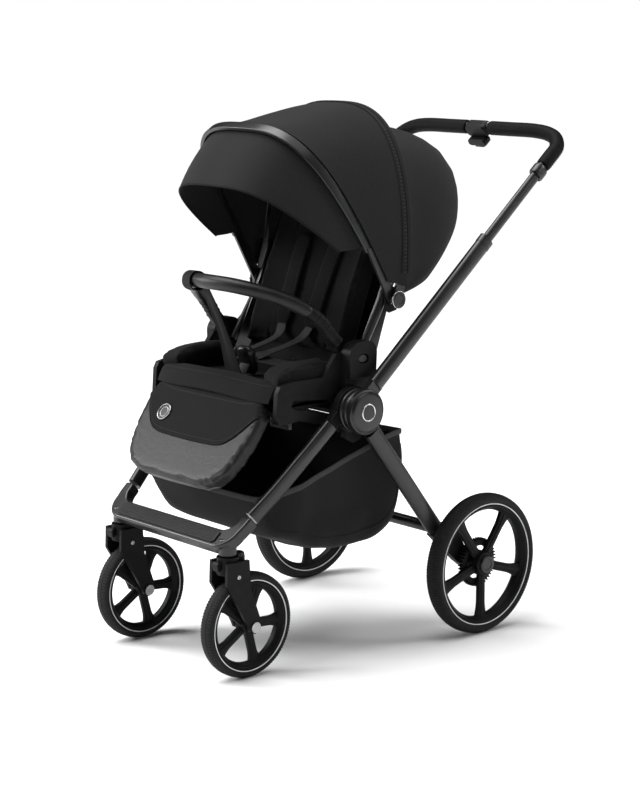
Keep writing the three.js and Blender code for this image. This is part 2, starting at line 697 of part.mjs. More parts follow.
const VISOR_EDGE = { lean: 53, half: 196, height: 372, power: 3.3, y: -10, z: 726 };
const HOOD_TOP = { lean: -12, half: 206, height: 352, power: 2.9, y: 14, z: 722 };
const HOOD_BACK = { lean: -44, half: 200, height: 366, power: 2.8, y: 14, z: 722 };
const HOOD_FOOT = { lean: -80, half: 194, height: 236, power: 2.2, y: 14, z: 722 };

const archRange = (u, low) => low + (1 - 2 * low) * u;

function canopyFrontPanel() {
  return sheet((u, v) =>
    archPoint(blendArch(FRONT_BOW, MID_BOW, 0.07 + 0.93 * v, 12), archRange(1 - u, 0.012), 9), 14, 3, 2.5);
}

function canopyRearPanel() {
  return sheet((u, v) => {
    const arch = v < 0.5 ? blendArch(HOOD_TOP, HOOD_BACK, 2 * v) : blendArch(HOOD_BACK, HOOD_FOOT, 2 * v - 1);
    return archPoint(arch, archRange(1 - u, 0.03), 0);
  }, 14, 5, 2.5);
}

function canopyVisor() {
  return sheet((u, v) =>
    archPoint(blendArch(VISOR_EDGE, FRONT_BOW, v * 0.88), archRange(1 - u, 0.05), -8 * v), 14, 2, 2.5);
}

// ---------------------------------------------------------------- basket

function basket() {
  const skin = 3;
  const side = outline([
    [-338, 352], [-300, 357], [-160, 400], [-62, 431], [14, 447], [30, 400], [44, 330], [48, 262],
    [12, 220], [-60, 207], [-166, 214], [-240, 246], [-296, 268]]);
  const inside = outline([
    [-342, 366], [-234, 440], [-79, 500], [60, 520], [14 - skin, 448], [30 - skin, 399],
    [44 - skin, 330], [48 - skin, 263], [11, 220 + skin], [-60, 207 + skin], [-165, 214 + skin],
    [-239, 246 + skin], [-293, 268 + skin]]);
  const tub = cut(plateX(side, -100, 100), plateX(inside, -100 + skin / 2, 100 - skin / 2));
  return warp(tub, (point) => {
    const rise = Math.min(1, (point.z - 212) / 180);
    const front = Math.max(0, (-250 - point.y) / 112);
    point.x *= (1.9 + 0.24 * rise) * (1 - 0.18 * front);
  });
}

// ---------------------------------------------------------------- assembly

const stroller = new THREE.Group();

function add(name, geometry, look, [x, y, z] = [0, 0, 0]) {
  const mesh = new THREE.Mesh(bare(geometry), look);
  mesh.name = name;
  mesh.position.set(x, y, z);
  stroller.add(mesh);
}

// a piece that is drawn on the +X side and exists on both sides
function addPair(name, geometry, look) {
  for (const [label, side] of SIDES) {
    add(`${name}_${label}`, toSide(geometry, side), look);
  }
}

for (const [label, side] of SIDES) {
  const front = [side * FRONT_WHEEL.x, FRONT_WHEEL.y, FRONT_WHEEL.radius];
  const rear = [side * REAR_WHEEL.x, REAR_WHEEL.y, REAR_WHEEL.radius];
  add(`front_tyre_${label}`, tyre(FRONT_WHEEL), RUBBER, front);
  add(`front_rim_${label}`, wheelRim(FRONT_WHEEL), PLASTIC, front);
  add(`front_axle_${label}`, frontAxle(), STEEL, front);
  add(`rear_tyre_${label}`, tyre(REAR_WHEEL), RUBBER, rear);
  add(`rear_rim_${label}`, wheelRim(REAR_WHEEL), PLASTIC, rear);
  add(`rear_axle_${label}`, toSide(rearAxle(), side), STEEL, rear);
  add(`caster_fork_${label}`, casterFork(), PLASTIC, [side * FRONT_WHEEL.x, 0, 0]);
  add(`caster_lock_${label}`, casterLock(), PLASTIC, [side * FRONT_WHEEL.x, 0, 0]);
}

addPair('front_tube', frontTube(), FRAME);
add('front_crossbar', frontCrossbar(), PLASTIC);
add('footrest_pad', footrestPad(), RUBBER);
addPair('hub_housing', hubHousing(), PLASTIC);
addPair('hub_cap', hubCap(), PLASTIC);
addPair('rear_leg', rearLeg(), FRAME);
addPair('axle_block', axleBlock(), PLASTIC);
add('rear_cross_tube', rearCrossTube(), FRAME);
add('brake_pedal', brakePedal(), PLASTIC);
addPair('upper_tube', upperTube(), FRAME);
add('push_bar', pushBar(), FRAME);
addPair('grip', grip(), LEATHER);
add('handle_console', handleConsole(), PLASTIC);
add('handle_button', handleButton(), PLASTIC);
addPair('seat_adapter', seatAdapter(), PLASTIC);
addPair('adapter_button', adapterButton(), PLASTIC);
add('seat_frame', seatFrame(), PLASTIC);
add('seat_cushion', seatCushion(), FABRIC);
add('crotch_buckle', crotchBuckle(), PLASTIC);
add('back_frame', backFrame(), FRAME);
add('backrest_pad', backrestPad(), FABRIC);
addPair('canopy_hinge', canopyHinge(), PLASTIC);
addPair('harness', harness(), FABRIC);
add('legrest_pad', legrestPad(), LEATHER);
add('legrest_lever', legrestLever(), PLASTIC);
add('bumper_bar', bumperBar(), LEATHER);
add('bumper_strap', bumperStrap(), FABRIC);
add('canopy_bow_front', canopyBow(FRONT_BOW, 205, 212, 5, 10), FRAME);
add('canopy_bow_mid', canopyBow(MID_BOW, 213, 220, 3, 6), FRAME);
add('canopy_front_panel', canopyFrontPanel(), FABRIC);
add('canopy_rear_panel', canopyRearPanel(), FABRIC);
add('canopy_visor', canopyVisor(), FABRIC);
add('basket', basket(), FABRIC);

export default stroller;
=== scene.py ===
# A pushchair in satin black, charcoal fabric and leather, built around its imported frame.
# Pieces are drawn in millimetres in the part's own frame: +X is one side, -Y the front, +Z up.
import math

import bmesh
import bpy
import numpy as np
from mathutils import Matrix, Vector, noise
from mathutils.bvhtree import BVHTree


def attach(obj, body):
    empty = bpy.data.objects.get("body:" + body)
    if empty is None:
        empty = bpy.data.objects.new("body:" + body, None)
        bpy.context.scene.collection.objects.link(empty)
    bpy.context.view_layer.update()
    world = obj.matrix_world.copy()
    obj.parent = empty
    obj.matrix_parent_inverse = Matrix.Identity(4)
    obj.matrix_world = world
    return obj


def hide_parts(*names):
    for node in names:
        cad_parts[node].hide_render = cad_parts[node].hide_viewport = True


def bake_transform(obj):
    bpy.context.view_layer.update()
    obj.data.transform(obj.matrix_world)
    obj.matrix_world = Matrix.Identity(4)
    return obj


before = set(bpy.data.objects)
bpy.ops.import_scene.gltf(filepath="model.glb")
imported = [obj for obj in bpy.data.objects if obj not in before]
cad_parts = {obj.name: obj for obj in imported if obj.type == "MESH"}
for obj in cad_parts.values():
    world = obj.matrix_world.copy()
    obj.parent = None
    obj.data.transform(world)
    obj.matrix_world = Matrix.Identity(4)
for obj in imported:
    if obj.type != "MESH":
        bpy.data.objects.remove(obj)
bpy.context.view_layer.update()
scene = bpy.context.scene

MM = 0.001
SIDES = (("right", 1), ("left", -1))

# ---------------------------------------------------------------- driving dimensions

FRONT_WHEEL = dict(x=172, y=-364, radius=106, width=35, rim=88, phase=-4, hub=18,
                   stripe=(91, 15.3), blocks=104)
REAR_WHEEL = dict(x=276, y=189, radius=149, width=40, rim=126, phase=-18, hub=26,
                  stripe=(128.5, 16.6), blocks=146)
SPOKES = 5
HUB = (-131.0, 512.0)
SLOPE = math.radians(40.3)
REAR_SLOPE = math.radians(-51.9)
PLANE_UP = np.array([0, -math.sin(SLOPE), math.cos(SLOPE)])
LEG_LEAN = math.radians(36)
LEG_HINGE = np.array([0, -298.0, 529.0])
LEG_DOWN = np.array([0, -math.sin(LEG_LEAN), -math.cos(LEG_LEAN)])
LEG_FRONT = np.array([0, -math.cos(LEG_LEAN), math.sin(LEG_LEAN)])
PIVOT = (-4.0, 718.0)
HANDLE_X = 247
HANDLE_OFFSET = 10.5
HANDLE_BEND = 718
FLOOR_HALF = 60  # metres
STANDING = [(0, 0, 1), (0, 1, 0), (-1, 0, 0)]  # turns a lathed part's own X axis upright

FRONT_BOW = dict(lean=32.7, half=206, height=398, power=3.3, y=-10, z=726)
MID_BOW = dict(lean=-3, half=217, height=372, power=2.7, y=14, z=722)
VISOR_EDGE = dict(lean=53, half=196, height=372, power=3.3, y=-10, z=726)
HOOD_TOP = dict(lean=-13, half=206, height=343, power=2.8, y=14, z=722)
HOOD_BACK = dict(lean=-44, half=199, height=370, power=2.6, y=14, z=722)
HOOD_FOOT = dict(lean=-78, half=197, height=212, power=2.1, y=14, z=722)
BACK_LINE = [(-72, 592), (-50, 660), (-16, 750), (30, 850), (66, 945)]

# ---------------------------------------------------------------- camera and light


def aim(obj, target):
    direction = Vector(target) - obj.location
    obj.rotation_euler = direction.to_track_quat("-Z", "Y").to_euler()


def make_camera():
    data = bpy.data.cameras.new("camera")
    data.lens = 90.47
    data.sensor_width = 36
    camera = bpy.data.objects.new("camera", data)
    camera.location = (3.0499, -2.7330, 1.2776)
    scene.collection.objects.link(camera)
    aim(camera, (0, -0.017, 0.496))
    scene.camera = camera


def make_light(name, place, target, size, power):
    data = bpy.data.lights.new(name, "AREA")
    data.size = size
    data.energy = power
    light = bpy.data.objects.new(name, data)
    light.location = place
    scene.collection.objects.link(light)
    aim(light, target)


def make_sun():
    """Even soft light, so that the floor stays equally pale as far as it goes."""
    data = bpy.data.lights.new("daylight", "SUN")
    data.energy = 3.9
    data.angle = math.radians(50)
    sun = bpy.data.objects.new("daylight", data)
    sun.location = (-1.4, -1.2, 4)
    scene.collection.objects.link(sun)
    aim(sun, (0, 0, 0))


def make_studio():
    world = bpy.data.worlds.new("studio")
    world.use_nodes = True
    world.node_tree.nodes["Background"].inputs["Color"].default_value = (1, 1, 1, 1)
    scene.world = world
    world.cycles_visibility.diffuse = False
    world.cycles_visibility.glossy = False
    scene.view_settings.view_transform = "Standard"
    make_sun()
    make_light("key", (-2.6, -2.4, 1.7), (0, -0.3, 0.5), 1.3, 95)
    make_light("ceiling", (0.2, 0.2, 4.0), (0, 0, 0.5), 4.0, 85)
    make_light("back", (2.4, 2.6, 2.2), (0, 0, 0.6), 1.4, 45)
    make_light("fill", (3.6, -1.2, 1.2), (0, 0, 0.5), 1.6, 12)
    mesh = bpy.data.meshes.new("floor")
    corners = [(x * FLOOR_HALF, y * FLOOR_HALF, 0) for x, y in ((-1, -1), (1, -1), (1, 1), (-1, 1))]
    mesh.from_pydata(corners, [], [(0, 1, 2, 3)])
    floor = bpy.data.objects.new("floor", mesh)
    scene.collection.objects.link(floor)
    mesh.materials.append(LOOKS["floor"])


# ---------------------------------------------------------------- materials


def texture(nodes, links, kind, scale):
    """A pattern's height socket, in object coordinates: noise, cells (leather) or weave."""
    coords = nodes.new("ShaderNodeTexCoord").outputs["Object"]
    if kind == "noise":
        node = nodes.new("ShaderNodeTexNoise")
        node.inputs["Scale"].default_value = scale
        node.inputs["Detail"].default_value = 6
        links.new(coords, node.inputs["Vector"])
        return node.outputs["Fac"]
    if kind == "cells":
        node = nodes.new("ShaderNodeTexVoronoi")
        node.feature = "SMOOTH_F1"
        node.inputs["Scale"].default_value = scale
        links.new(coords, node.inputs["Vector"])
        return node.outputs["Distance"]
    threads = []
    for turn in (0.6, 2.2):
        mapping = nodes.new("ShaderNodeMapping")
        mapping.inputs["Rotation"].default_value = (turn, 0.4 * turn, 0.7 * turn)
        links.new(coords, mapping.inputs["Vector"])
        wave = nodes.new("ShaderNodeTexWave")
        wave.inputs["Scale"].default_value = scale
        wave.inputs["Distortion"].default_value = 0.6
        links.new(mapping.outputs["Vector"], wave.inputs["Vector"])
        threads.append(wave.outputs["Fac"])
    both = nodes.new("ShaderNodeMath")
    both.operation = "MAXIMUM"
    links.new(threads[0], both.inputs[0])
    links.new(threads[1], both.inputs[1])
    return both.outputs["Value"]


def look(name, dark, light, mottle, rough, bumps, metallic=0.0, **constants):
    """A procedural surface: mottled colour and roughness, and one bump for each (kind, scale, distance)."""
    mat = bpy.data.materials.new(name)
    mat.use_nodes = True
    nodes, links = mat.node_tree.nodes, mat.node_tree.links
    bsdf = nodes["Principled BSDF"]
    cloud = texture(nodes, links, "noise", mottle)
    ramp = nodes.new("ShaderNodeValToRGB")
    ramp.color_ramp.elements[0].position = 0.35
    ramp.color_ramp.elements[1].position = 0.65
    ramp.color_ramp.elements[0].color = (*dark, 1)
    ramp.color_ramp.elements[1].color = (*light, 1)
    links.new(cloud, ramp.inputs["Fac"])
    links.new(ramp.outputs["Color"], bsdf.inputs["Base Color"])
    spread = nodes.new("ShaderNodeMapRange")
    spread.inputs["To Min"].default_value = rough[0]
    spread.inputs["To Max"].default_value = rough[1]
    links.new(cloud, spread.inputs["Value"])
    links.new(spread.outputs["Result"], bsdf.inputs["Roughness"])
    normal = None
    for kind, scale, distance in bumps:
        bump = nodes.new("ShaderNodeBump")
        bump.inputs["Distance"].default_value = distance
        bump.inputs["Strength"].default_value = 0.6
        links.new(texture(nodes, links, kind, scale), bump.inputs["Height"])
        if normal is not None:
            links.new(normal, bump.inputs["Normal"])
        normal = bump.outputs["Normal"]
    if normal is not None:
        links.new(normal, bsdf.inputs["Normal"])
    bsdf.inputs["Metallic"].default_value = metallic
    for socket, value in constants.items():
        bsdf.inputs[socket.replace("_", " ")].default_value = value
    return mat


def grey(value):
    return (value, value, value * 1.04)


def make_looks():
    cloth = {"Specular_IOR_Level": 0.15, "Sheen_Weight": 0.03, "Sheen_Roughness": 0.5}
    hide = [("cells", 620, 0.0005), ("noise", 90, 0.0008)]
    return {
        "floor": look("pale_floor", (0.93,) * 3, (0.95,) * 3, 3, (0.8, 0.9), [], Specular_IOR_Level=0.1),
        "tyre": look("tyre_rubber", grey(0.005), grey(0.009), 60, (0.62, 0.8), [("noise", 900, 0.0002)],
                     Specular_IOR_Level=0.22),
        "plastic": look("moulded_plastic", grey(0.004), grey(0.007), 25, (0.4, 0.52),
                        [("noise", 1500, 0.00012)], Specular_IOR_Level=0.1),
        "satin": look("satin_coat", grey(0.007), grey(0.011), 18, (0.27, 0.36), [("noise", 2200, 0.00006)],
                      Specular_IOR_Level=0.42),
        "gloss": look("semi_gloss_plastic", grey(0.007), grey(0.009), 15, (0.28, 0.34),
                      [("noise", 1800, 0.00005)], Specular_IOR_Level=0.4),
        "leather": look("grained_leather", grey(0.004), grey(0.007), 40, (0.36, 0.46), hide,
                        Specular_IOR_Level=0.28),
        "grip": look("handle_leather", grey(0.004), grey(0.007), 40, (0.5, 0.65), hide,
                     Specular_IOR_Level=0.06),
        "tread": look("footrest_rubber", grey(0.005), grey(0.009), 40, (0.5, 0.62), [("noise", 1300, 0.0002)],
                      Specular_IOR_Level=0.2),
        "seat": look("seat_fabric", grey(0.002), grey(0.004), 420, (0.85, 0.95),
                     [("weave", 240, 0.0003), ("noise", 35, 0.001)], **cloth),
        "canopy": look("canopy_fabric", grey(0.009), grey(0.014), 520, (0.82, 0.92),
                       [("weave", 260, 0.0003), ("noise", 22, 0.0012)], **cloth),
        "basket": look("basket_fabric", grey(0.005), grey(0.008), 380, (0.75, 0.88),
                       [("weave", 170, 0.0004), ("noise", 18, 0.0016)], **cloth),
        "webbing": look("woven_webbing", grey(0.007), grey(0.013), 500, (0.6, 0.75),
                        [("weave", 130, 0.0006)]),
        "thread": look("stitching_thread", grey(0.025), grey(0.04), 900, (0.6, 0.7),
                       [("noise", 2500, 0.0001)]),
        "steel": look("brushed_steel", (0.3,) * 3, (0.42,) * 3, 120, (0.25, 0.35), [("noise", 1600, 0.00005)],
                      metallic=1.0),
        "silver": look("silver_plate", (0.5,) * 3, (0.62,) * 3, 80, (0.2, 0.3), [("noise", 1600, 0.00004)],
                       metallic=0.9),
        "stripe": look("white_pinstripe", (0.62,) * 3, (0.75,) * 3, 50, (0.35, 0.45), []),
    }


# ---------------------------------------------------------------- mesh parts: (points, faces)


def resample(points, count):
    points = np.asarray(points, float)
    steps = np.linalg.norm(np.diff(points, axis=0), axis=1)
    place = np.concatenate([[0], np.cumsum(steps)])
    wanted = np.linspace(0, place[-1], count)
    return np.stack([np.interp(wanted, place, column) for column in points.T], axis=1)


def smooth_path(points, count):
    """count evenly spaced points on a centripetal Catmull-Rom curve."""
    pts = np.asarray(points, float)
    pts = np.vstack([2 * pts[0] - pts[1], pts, 2 * pts[-1] - pts[-2]])
    dense = []
    for p0, p1, p2, p3 in zip(pts, pts[1:], pts[2:], pts[3:]):
        knots = np.cumsum([0] + [np.linalg.norm(b - a) ** 0.5 for a, b in ((p0, p1), (p1, p2), (p2, p3))])
        t = np.linspace(knots[1], knots[2], 33)[:, None]

        def mix(a, b, ta, tb):
            return ((tb - t) * a + (t - ta) * b) / (tb - ta)

        a1, a2, a3 = mix(p0, p1, *knots[0:2]), mix(p1, p2, *knots[1:3]), mix(p2, p3, *knots[2:4])
        b1, b2 = mix(a1, a2, knots[0], knots[2]), mix(a2, a3, knots[1], knots[3])
        dense.append(mix(b1, b2, knots[1], knots[2]))
    return resample(np.vstack(dense), count)


def oval(across, up, sides=28, power=2.0):
    turn = np.arange(sides) * 2 * math.pi / sides
    shape = [np.sign(f) * np.abs(f) ** (2 / power) for f in (np.cos(turn), np.sin(turn))]
    return np.stack([across * shape[0], up * shape[1]], axis=1)


def ring_faces(rings, sides, closed=False):
    faces = []
    for i in range(rings if closed else rings - 1):
        a, b = i * sides, ((i + 1) % rings) * sides
        faces += [(a + j, a + (j + 1) % sides, b + (j + 1) % sides, b + j) for j in range(sides)]
    return faces


def unit(vectors):
    return vectors / np.linalg.norm(vectors, axis=-1, keepdims=True)


def grid_normals(grid):
    normal = np.cross(np.gradient(grid, axis=1), np.gradient(grid, axis=0))
    return normal / (np.linalg.norm(normal, axis=2)[:, :, None] + 1e-9)


def sweep(path, section, up, scale=None, closed=False):
    """A section carried along a path. Its first axis lies across up, its second along it."""
    path = np.asarray(path, float)
    tangent = np.gradient(path, axis=0)
    if closed:
        tangent = np.roll(path, -1, axis=0) - np.roll(path, 1, axis=0)
    tangent = unit(tangent)
    side = unit(np.cross(tangent, np.broadcast_to(np.asarray(up, float), path.shape)))
    top = np.cross(side, tangent)
    scale = np.ones((len(path), 2)) if scale is None else np.asarray(scale, float).reshape(len(path), -1)
    rings = (path[:, None] + side[:, None] * section[None, :, :1] * scale[:, None, :1]
             + top[:, None] * section[None, :, 1:] * scale[:, None, -1:])
    sides = len(section)
    faces = ring_faces(len(path), sides, closed)
    if not closed:
        last = (len(path) - 1) * sides
        faces += [tuple(range(sides))[::-1], tuple(range(last, last + sides))]
    return rings.reshape(-1, 3), faces


def cord(path, radius, up, sides=8):
    return sweep(path, oval(radius, radius, sides), up)


def lathe(profile, sides=96):
    """A closed profile of (radius, x) turned about the X axis."""
    turn = np.arange(sides) * 2 * math.pi / sides
    r, x = np.asarray(profile, float).T
    across, up = np.cos(turn)[:, None] * r, np.sin(turn)[:, None] * r
    rings = np.stack([np.broadcast_to(x, (sides, len(x))), across, up], axis=2)
    return rings.reshape(-1, 3), ring_faces(sides, len(x), closed=True)


def plate(outline, x0, x1):
    """An outline of (y, z) extruded along X."""
    outline = np.asarray(outline, float)
    n = len(outline)
    points = np.vstack([np.column_stack([np.full(n, x), outline]) for x in (x0, x1)])
    return points, ring_faces(2, n) + [tuple(range(n))[::-1], tuple(range(n, 2 * n))]


def shell(grid, thickness):
    """A thin closed sheet around a grid of points [row][column]."""
    grid = np.asarray(grid, float)
    rows, columns = grid.shape[:2]
    normal = grid_normals(grid)
    layers = np.stack([grid + normal * thickness / 2, grid - normal * thickness / 2])
    index = np.arange(2 * rows * columns).reshape(2, rows, columns)
    faces = []
    for i in range(rows - 1):
        for j in range(columns - 1):
            for layer, order in ((0, 1), (1, -1)):
                k = index[layer]
                faces.append((k[i, j], k[i, j + 1], k[i + 1, j + 1], k[i + 1, j])[::order])
    border = ([(0, j) for j in range(columns)] + [(i, columns - 1) for i in range(1, rows)]
              + [(rows - 1, j) for j in range(columns - 2, -1, -1)]
              + [(i, 0) for i in range(rows - 2, 0, -1)])
    for (a, b), (c, d) in zip(border, border[1:] + border[:1]):
        faces.append((index[0, a, b], index[1, a, b], index[1, c, d], index[0, c, d]))
    return layers.reshape(-1, 3), faces


def joined(*parts):
    points, faces, start = [], [], 0
    for part_points, part_faces in parts:
        points.append(part_points)
        faces += [tuple(int(i) + start for i in face) for face in part_faces]
        start += len(part_points)
    return np.vstack(points), faces


def moved(part, offset, axes=None):
    """A part turned so that its own x, y and z lie along axes, then shifted."""
    points = part[0] if axes is None else part[0] @ np.asarray(axes, float)
    return points + np.asarray(offset, float), part[1]


def turned(part, angle):
    """A part turned about the X axis."""
    c, s = math.cos(angle), math.sin(angle)
    return moved(part, (0, 0, 0), [(1, 0, 0), (0, c, s), (0, -s, c)])


def mirrored(part, side):
    if side > 0:
        return part
    return part[0] * np.array([-1, 1, 1]), [face[::-1] for face in part[1]]


def stitches(path, outward, length=4.5, gap=3.0, radius=0.45, lift=0.3):
    """A row of short threads along a path, raised along outward."""
    path = np.asarray(path, float)
    total = np.linalg.norm(np.diff(path, axis=0), axis=1).sum()
    count = max(2, int(total / (length + gap)))
    fine = resample(path, count * 4 + 1)
    outward = np.asarray(outward, float)
    outward = outward if outward.ndim == 1 else resample(outward, count * 4 + 1)
    parts = []
    for i in range(count):
        line = fine[4 * i:4 * i + 3]
        up = outward if outward.ndim == 1 else outward[4 * i + 1]
        up = up / np.linalg.norm(up)
        parts.append(sweep(line + up * lift, oval(radius, radius, 6), up, scale=[0.5, 1, 0.5]))
    return joined(*parts)


# ---------------------------------------------------------------- objects


def bake_modifiers(obj):
    graph = bpy.context.evaluated_depsgraph_get()
    mesh = bpy.data.meshes.new_from_object(obj.evaluated_get(graph))
    obj.modifiers.clear()
    obj.data = mesh


def shade(mesh, sharp):
    mesh.polygons.foreach_set("use_smooth", [True] * len(mesh.polygons))
    mesh.set_sharp_from_angle(angle=math.radians(sharp))


def tidy_mesh(mesh, dissolve=False):
    bm = bmesh.new()
    bm.from_mesh(mesh)
    bmesh.ops.remove_doubles(bm, verts=bm.verts, dist=1e-5)
    if dissolve:
        bmesh.ops.dissolve_limit(bm, angle_limit=math.radians(1.5), verts=bm.verts, edges=bm.edges)
    bmesh.ops.recalc_face_normals(bm, faces=bm.faces)
    bm.to_mesh(mesh)
    bm.free()


def soften(obj, bevel, segments, sharp):
    """Rounded edges with even shading."""
    if bevel:
        edge = obj.modifiers.new("edge", "BEVEL")
        edge.width = bevel * MM
        edge.segments = segments
        edge.limit_method = "ANGLE"
        edge.angle_limit = math.radians(32)
        bake_modifiers(obj)
    shade(obj.data, sharp)
    if bevel:
        obj.modifiers.new("even", "WEIGHTED_NORMAL").keep_sharp = True
        bake_modifiers(obj)


def dress(obj, material, body, nodes=()):
    obj.data.materials.clear()
    obj.data.materials.append(LOOKS[material])
    if body:
        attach(obj, body)
    if nodes:
        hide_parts(*nodes)
    return obj


def new_object(name, part):
    mesh = bpy.data.meshes.new(name)
    mesh.from_pydata((part[0] * MM).tolist(), [], part[1])
    tidy_mesh(mesh)
    obj = bpy.data.objects.new(name, mesh)
    scene.collection.objects.link(obj)
    return obj


def piece(name, part, material, body, nodes=(), bevel=0, segments=3, sharp=38):
    obj = new_object(name, part)
    soften(obj, bevel, segments, sharp)
    return dress(obj, material, body, nodes)


def refined(node, material, body, slot, bevel=1.2, segments=2):
    """A moulded piece with the CAD node's own shape and rounded edges."""
    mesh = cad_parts[node].data.copy()
    mesh.name = node + "_moulded"
    tidy_mesh(mesh, dissolve=True)
    obj = bpy.data.objects.new(node + "_moulded", mesh)
    scene.collection.objects.link(obj)
    soften(obj, bevel, segments, 38)
    return dress(obj, material, body, (node,))


def refined_pair(node, material, body, slot, **options):
    for label, _ in SIDES:
        refined(f"{node}_{label}", material, body.format(label), slot, **options)


def puffed(obj, limit, voxel=5.0, pressure=4.0):
    """Swells a closed mesh as stuffing would, with no point moving further than limit."""
    remesh = obj.modifiers.new("voxels", "REMESH")
    remesh.mode = "VOXEL"
    remesh.voxel_size = voxel * MM
    bake_modifiers(obj)
    swell(obj, limit * MM, pressure)
    fine = obj.modifiers.new("fine", "SUBSURF")
    fine.levels = fine.render_levels = 1
    bake_modifiers(obj)
    shade(obj.data, 180)


def points_of(mesh):
    points = np.zeros(len(mesh.vertices) * 3)
    mesh.vertices.foreach_get("co", points)
    return points.reshape(-1, 3)


def set_points(mesh, points):
    mesh.vertices.foreach_set("co", np.asarray(points, float).ravel())
    mesh.update()


def swell(obj, limit, pressure):
    rest = points_of(obj.data)
    cloth = obj.modifiers.new("Cloth", "CLOTH")
    cloth.settings.use_pressure = True
    cloth.settings.uniform_pressure_force = pressure
    cloth.settings.effector_weights.gravity = 0
    cloth.settings.quality = 4
    cloth.point_cache.frame_end = 20
    for number in range(1, 21):
        scene.frame_set(number)
    graph = bpy.context.evaluated_depsgraph_get()
    swollen = points_of(obj.evaluated_get(graph).data)
    move = swollen - rest
    length = np.linalg.norm(move, axis=1)[:, None] + 1e-12
    obj.modifiers.clear()
    scene.frame_set(1)
    set_points(obj.data, rest + move * np.minimum(1, limit / length))


def press_seam(obj, path, width, depth):
    """Sinks a sewn line into a pad."""
    path = resample(path, 160) * MM
    mesh = obj.data
    points = points_of(mesh)
    normals = np.array([v.normal for v in mesh.vertices])
    nearest = np.min(np.linalg.norm(points[:, None] - path[None], axis=2), axis=1)
    sink = depth * MM * np.exp(-(nearest / (width * MM)) ** 2)
    set_points(mesh, points - normals * sink[:, None])


def surface_hits(obj, origins, direction):
    """Where lines from origins, in millimetres, first meet obj: (points, normals)."""
    graph = bpy.context.evaluated_depsgraph_get()
    tree = BVHTree.FromObject(obj, graph)
    points, normals = [], []
    for origin in np.asarray(origins, float):
        place, normal, _, _ = tree.ray_cast(Vector(origin * MM), Vector(direction))
        if place is None:
            place, normal, _, _ = tree.find_nearest(Vector(origin * MM))
        points.append(np.array(place) / MM)
        normals.append(np.array(normal))
    return np.array(points), np.array(normals)


def cloth_sheet(name, grid, thickness, material, body=None, nodes=()):
    obj = piece(name, shell(grid, thickness), material, body, nodes, sharp=60)
    return obj


# ---------------------------------------------------------------- wheels


def tyre_part(radius, width, rim, blocks):
    half, wall = width / 2, radius - rim
    profile = smooth_path([
        (rim - 1, 0, -half * 0.62), (rim + wall * 0.3, 0, -half * 0.97), (rim + wall * 0.6, 0, -half),
        (radius - wall * 0.18, 0, -half * 0.8), (radius - wall * 0.02, 0, -half * 0.36), (radius, 0, 0),
        (radius - wall * 0.02, 0, half * 0.36), (radius - wall * 0.18, 0, half * 0.8),
        (rim + wall * 0.6, 0, half), (rim + wall * 0.3, 0, half * 0.97), (rim - 1, 0, half * 0.62)], 41)
    r, x = profile[:, 0], profile[:, 2]
    steps = blocks * 4
    turn = np.arange(steps) * 2 * math.pi / steps
    tread = np.clip((r - (rim + wall * 0.55)) / (wall * 0.12), 0, 1)
    groove = np.maximum(np.exp(-((np.abs(x) - half * 0.3) / 0.9) ** 2), 0)
    phase = (np.arange(steps)[:, None] + np.where(x > 0, 2, 0)[None]) % 4
    slot = (phase < 1.5) * (np.abs(x) > half * 0.34)[None] * tread[None]
    depth = 1.3 * slot + 1.2 * (groove * tread)[None]
    radii = r[None] - depth
    points = np.stack([np.broadcast_to(x, radii.shape), np.cos(turn)[:, None] * radii,
                       np.sin(turn)[:, None] * radii], axis=2)
    columns = len(r)
    faces = ring_faces(steps, columns, closed=True)
    return points.reshape(-1, 3), faces


def spoke_part(start, end, root, middle, tip, thickness):
    """A spoke along Y with a raised rib down its middle on both faces."""
    places = np.linspace(start, end, 14)
    share = (places - start) / (end - start)
    widths = np.interp(share, [0, 0.3, 0.72, 0.9, 1], [root, middle, middle * 1.02, middle * 1.35, tip])
    t = thickness / 2
    section = np.array([(-1, -0.55 * t), (-1, 0.55 * t), (-0.8, 0.7 * t), (-0.5, 0.7 * t),
                        (-0.34, t), (0.34, t), (0.5, 0.7 * t), (0.8, 0.7 * t), (1, 0.55 * t),
                        (1, -0.55 * t), (0.8, -0.7 * t),
                        (0.5, -0.7 * t), (0.34, -t), (-0.34, -t), (-0.5, -0.7 * t), (-0.8, -0.7 * t)])
    points = [[(x, y, w * a) for a, x in section] for y, w in zip(places, widths)]
    sides = len(section)
    last = (len(places) - 1) * sides
    faces = ring_faces(len(places), sides) + [tuple(range(sides))[::-1], tuple(range(last, last + sides))]
    return np.array(points).reshape(-1, 3), faces


def rim_part(width, rim, phase, hub):
    band = width * 0.39
    barrel = [(rim, -band), (rim - 2.5, -band - 0.6), (rim - 5, -band + 0.8), (rim - 6.5, -band + 4),
              (rim - 11, -band * 0.45), (rim - 12, 0), (rim - 11, band * 0.45), (rim - 6.5, band - 4),
              (rim - 5, band - 0.8), (rim - 2.5, band + 0.6), (rim, band)]
    half = width * 0.4
    centre = [(5.6, -half), (hub - 2, -half), (hub, -half + 2), (hub, half - 2.5), (hub - 2.5, half),
              (5.6, half)]
    parts = [lathe(barrel, 128), lathe(centre, 64)]
    for i in range(SPOKES):
        arm = spoke_part(hub * 0.55, rim - 8, 9.5, 9.5, 17, width * 0.36)
        parts.append(turned(arm, math.radians(phase + 360 * i / SPOKES)))
    return joined(*parts)


def cap_part(radius, depth):
    """A hub cap with a rounded edge and a shallow dish, standing along +X."""
    return lathe([(0, 0), (radius, 0), (radius, depth * 0.55), (radius - 1.2, depth * 0.9),
                  (radius - 3, depth), (radius * 0.62, depth), (radius * 0.56, depth * 0.72),
                  (0, depth * 0.72)], 56)


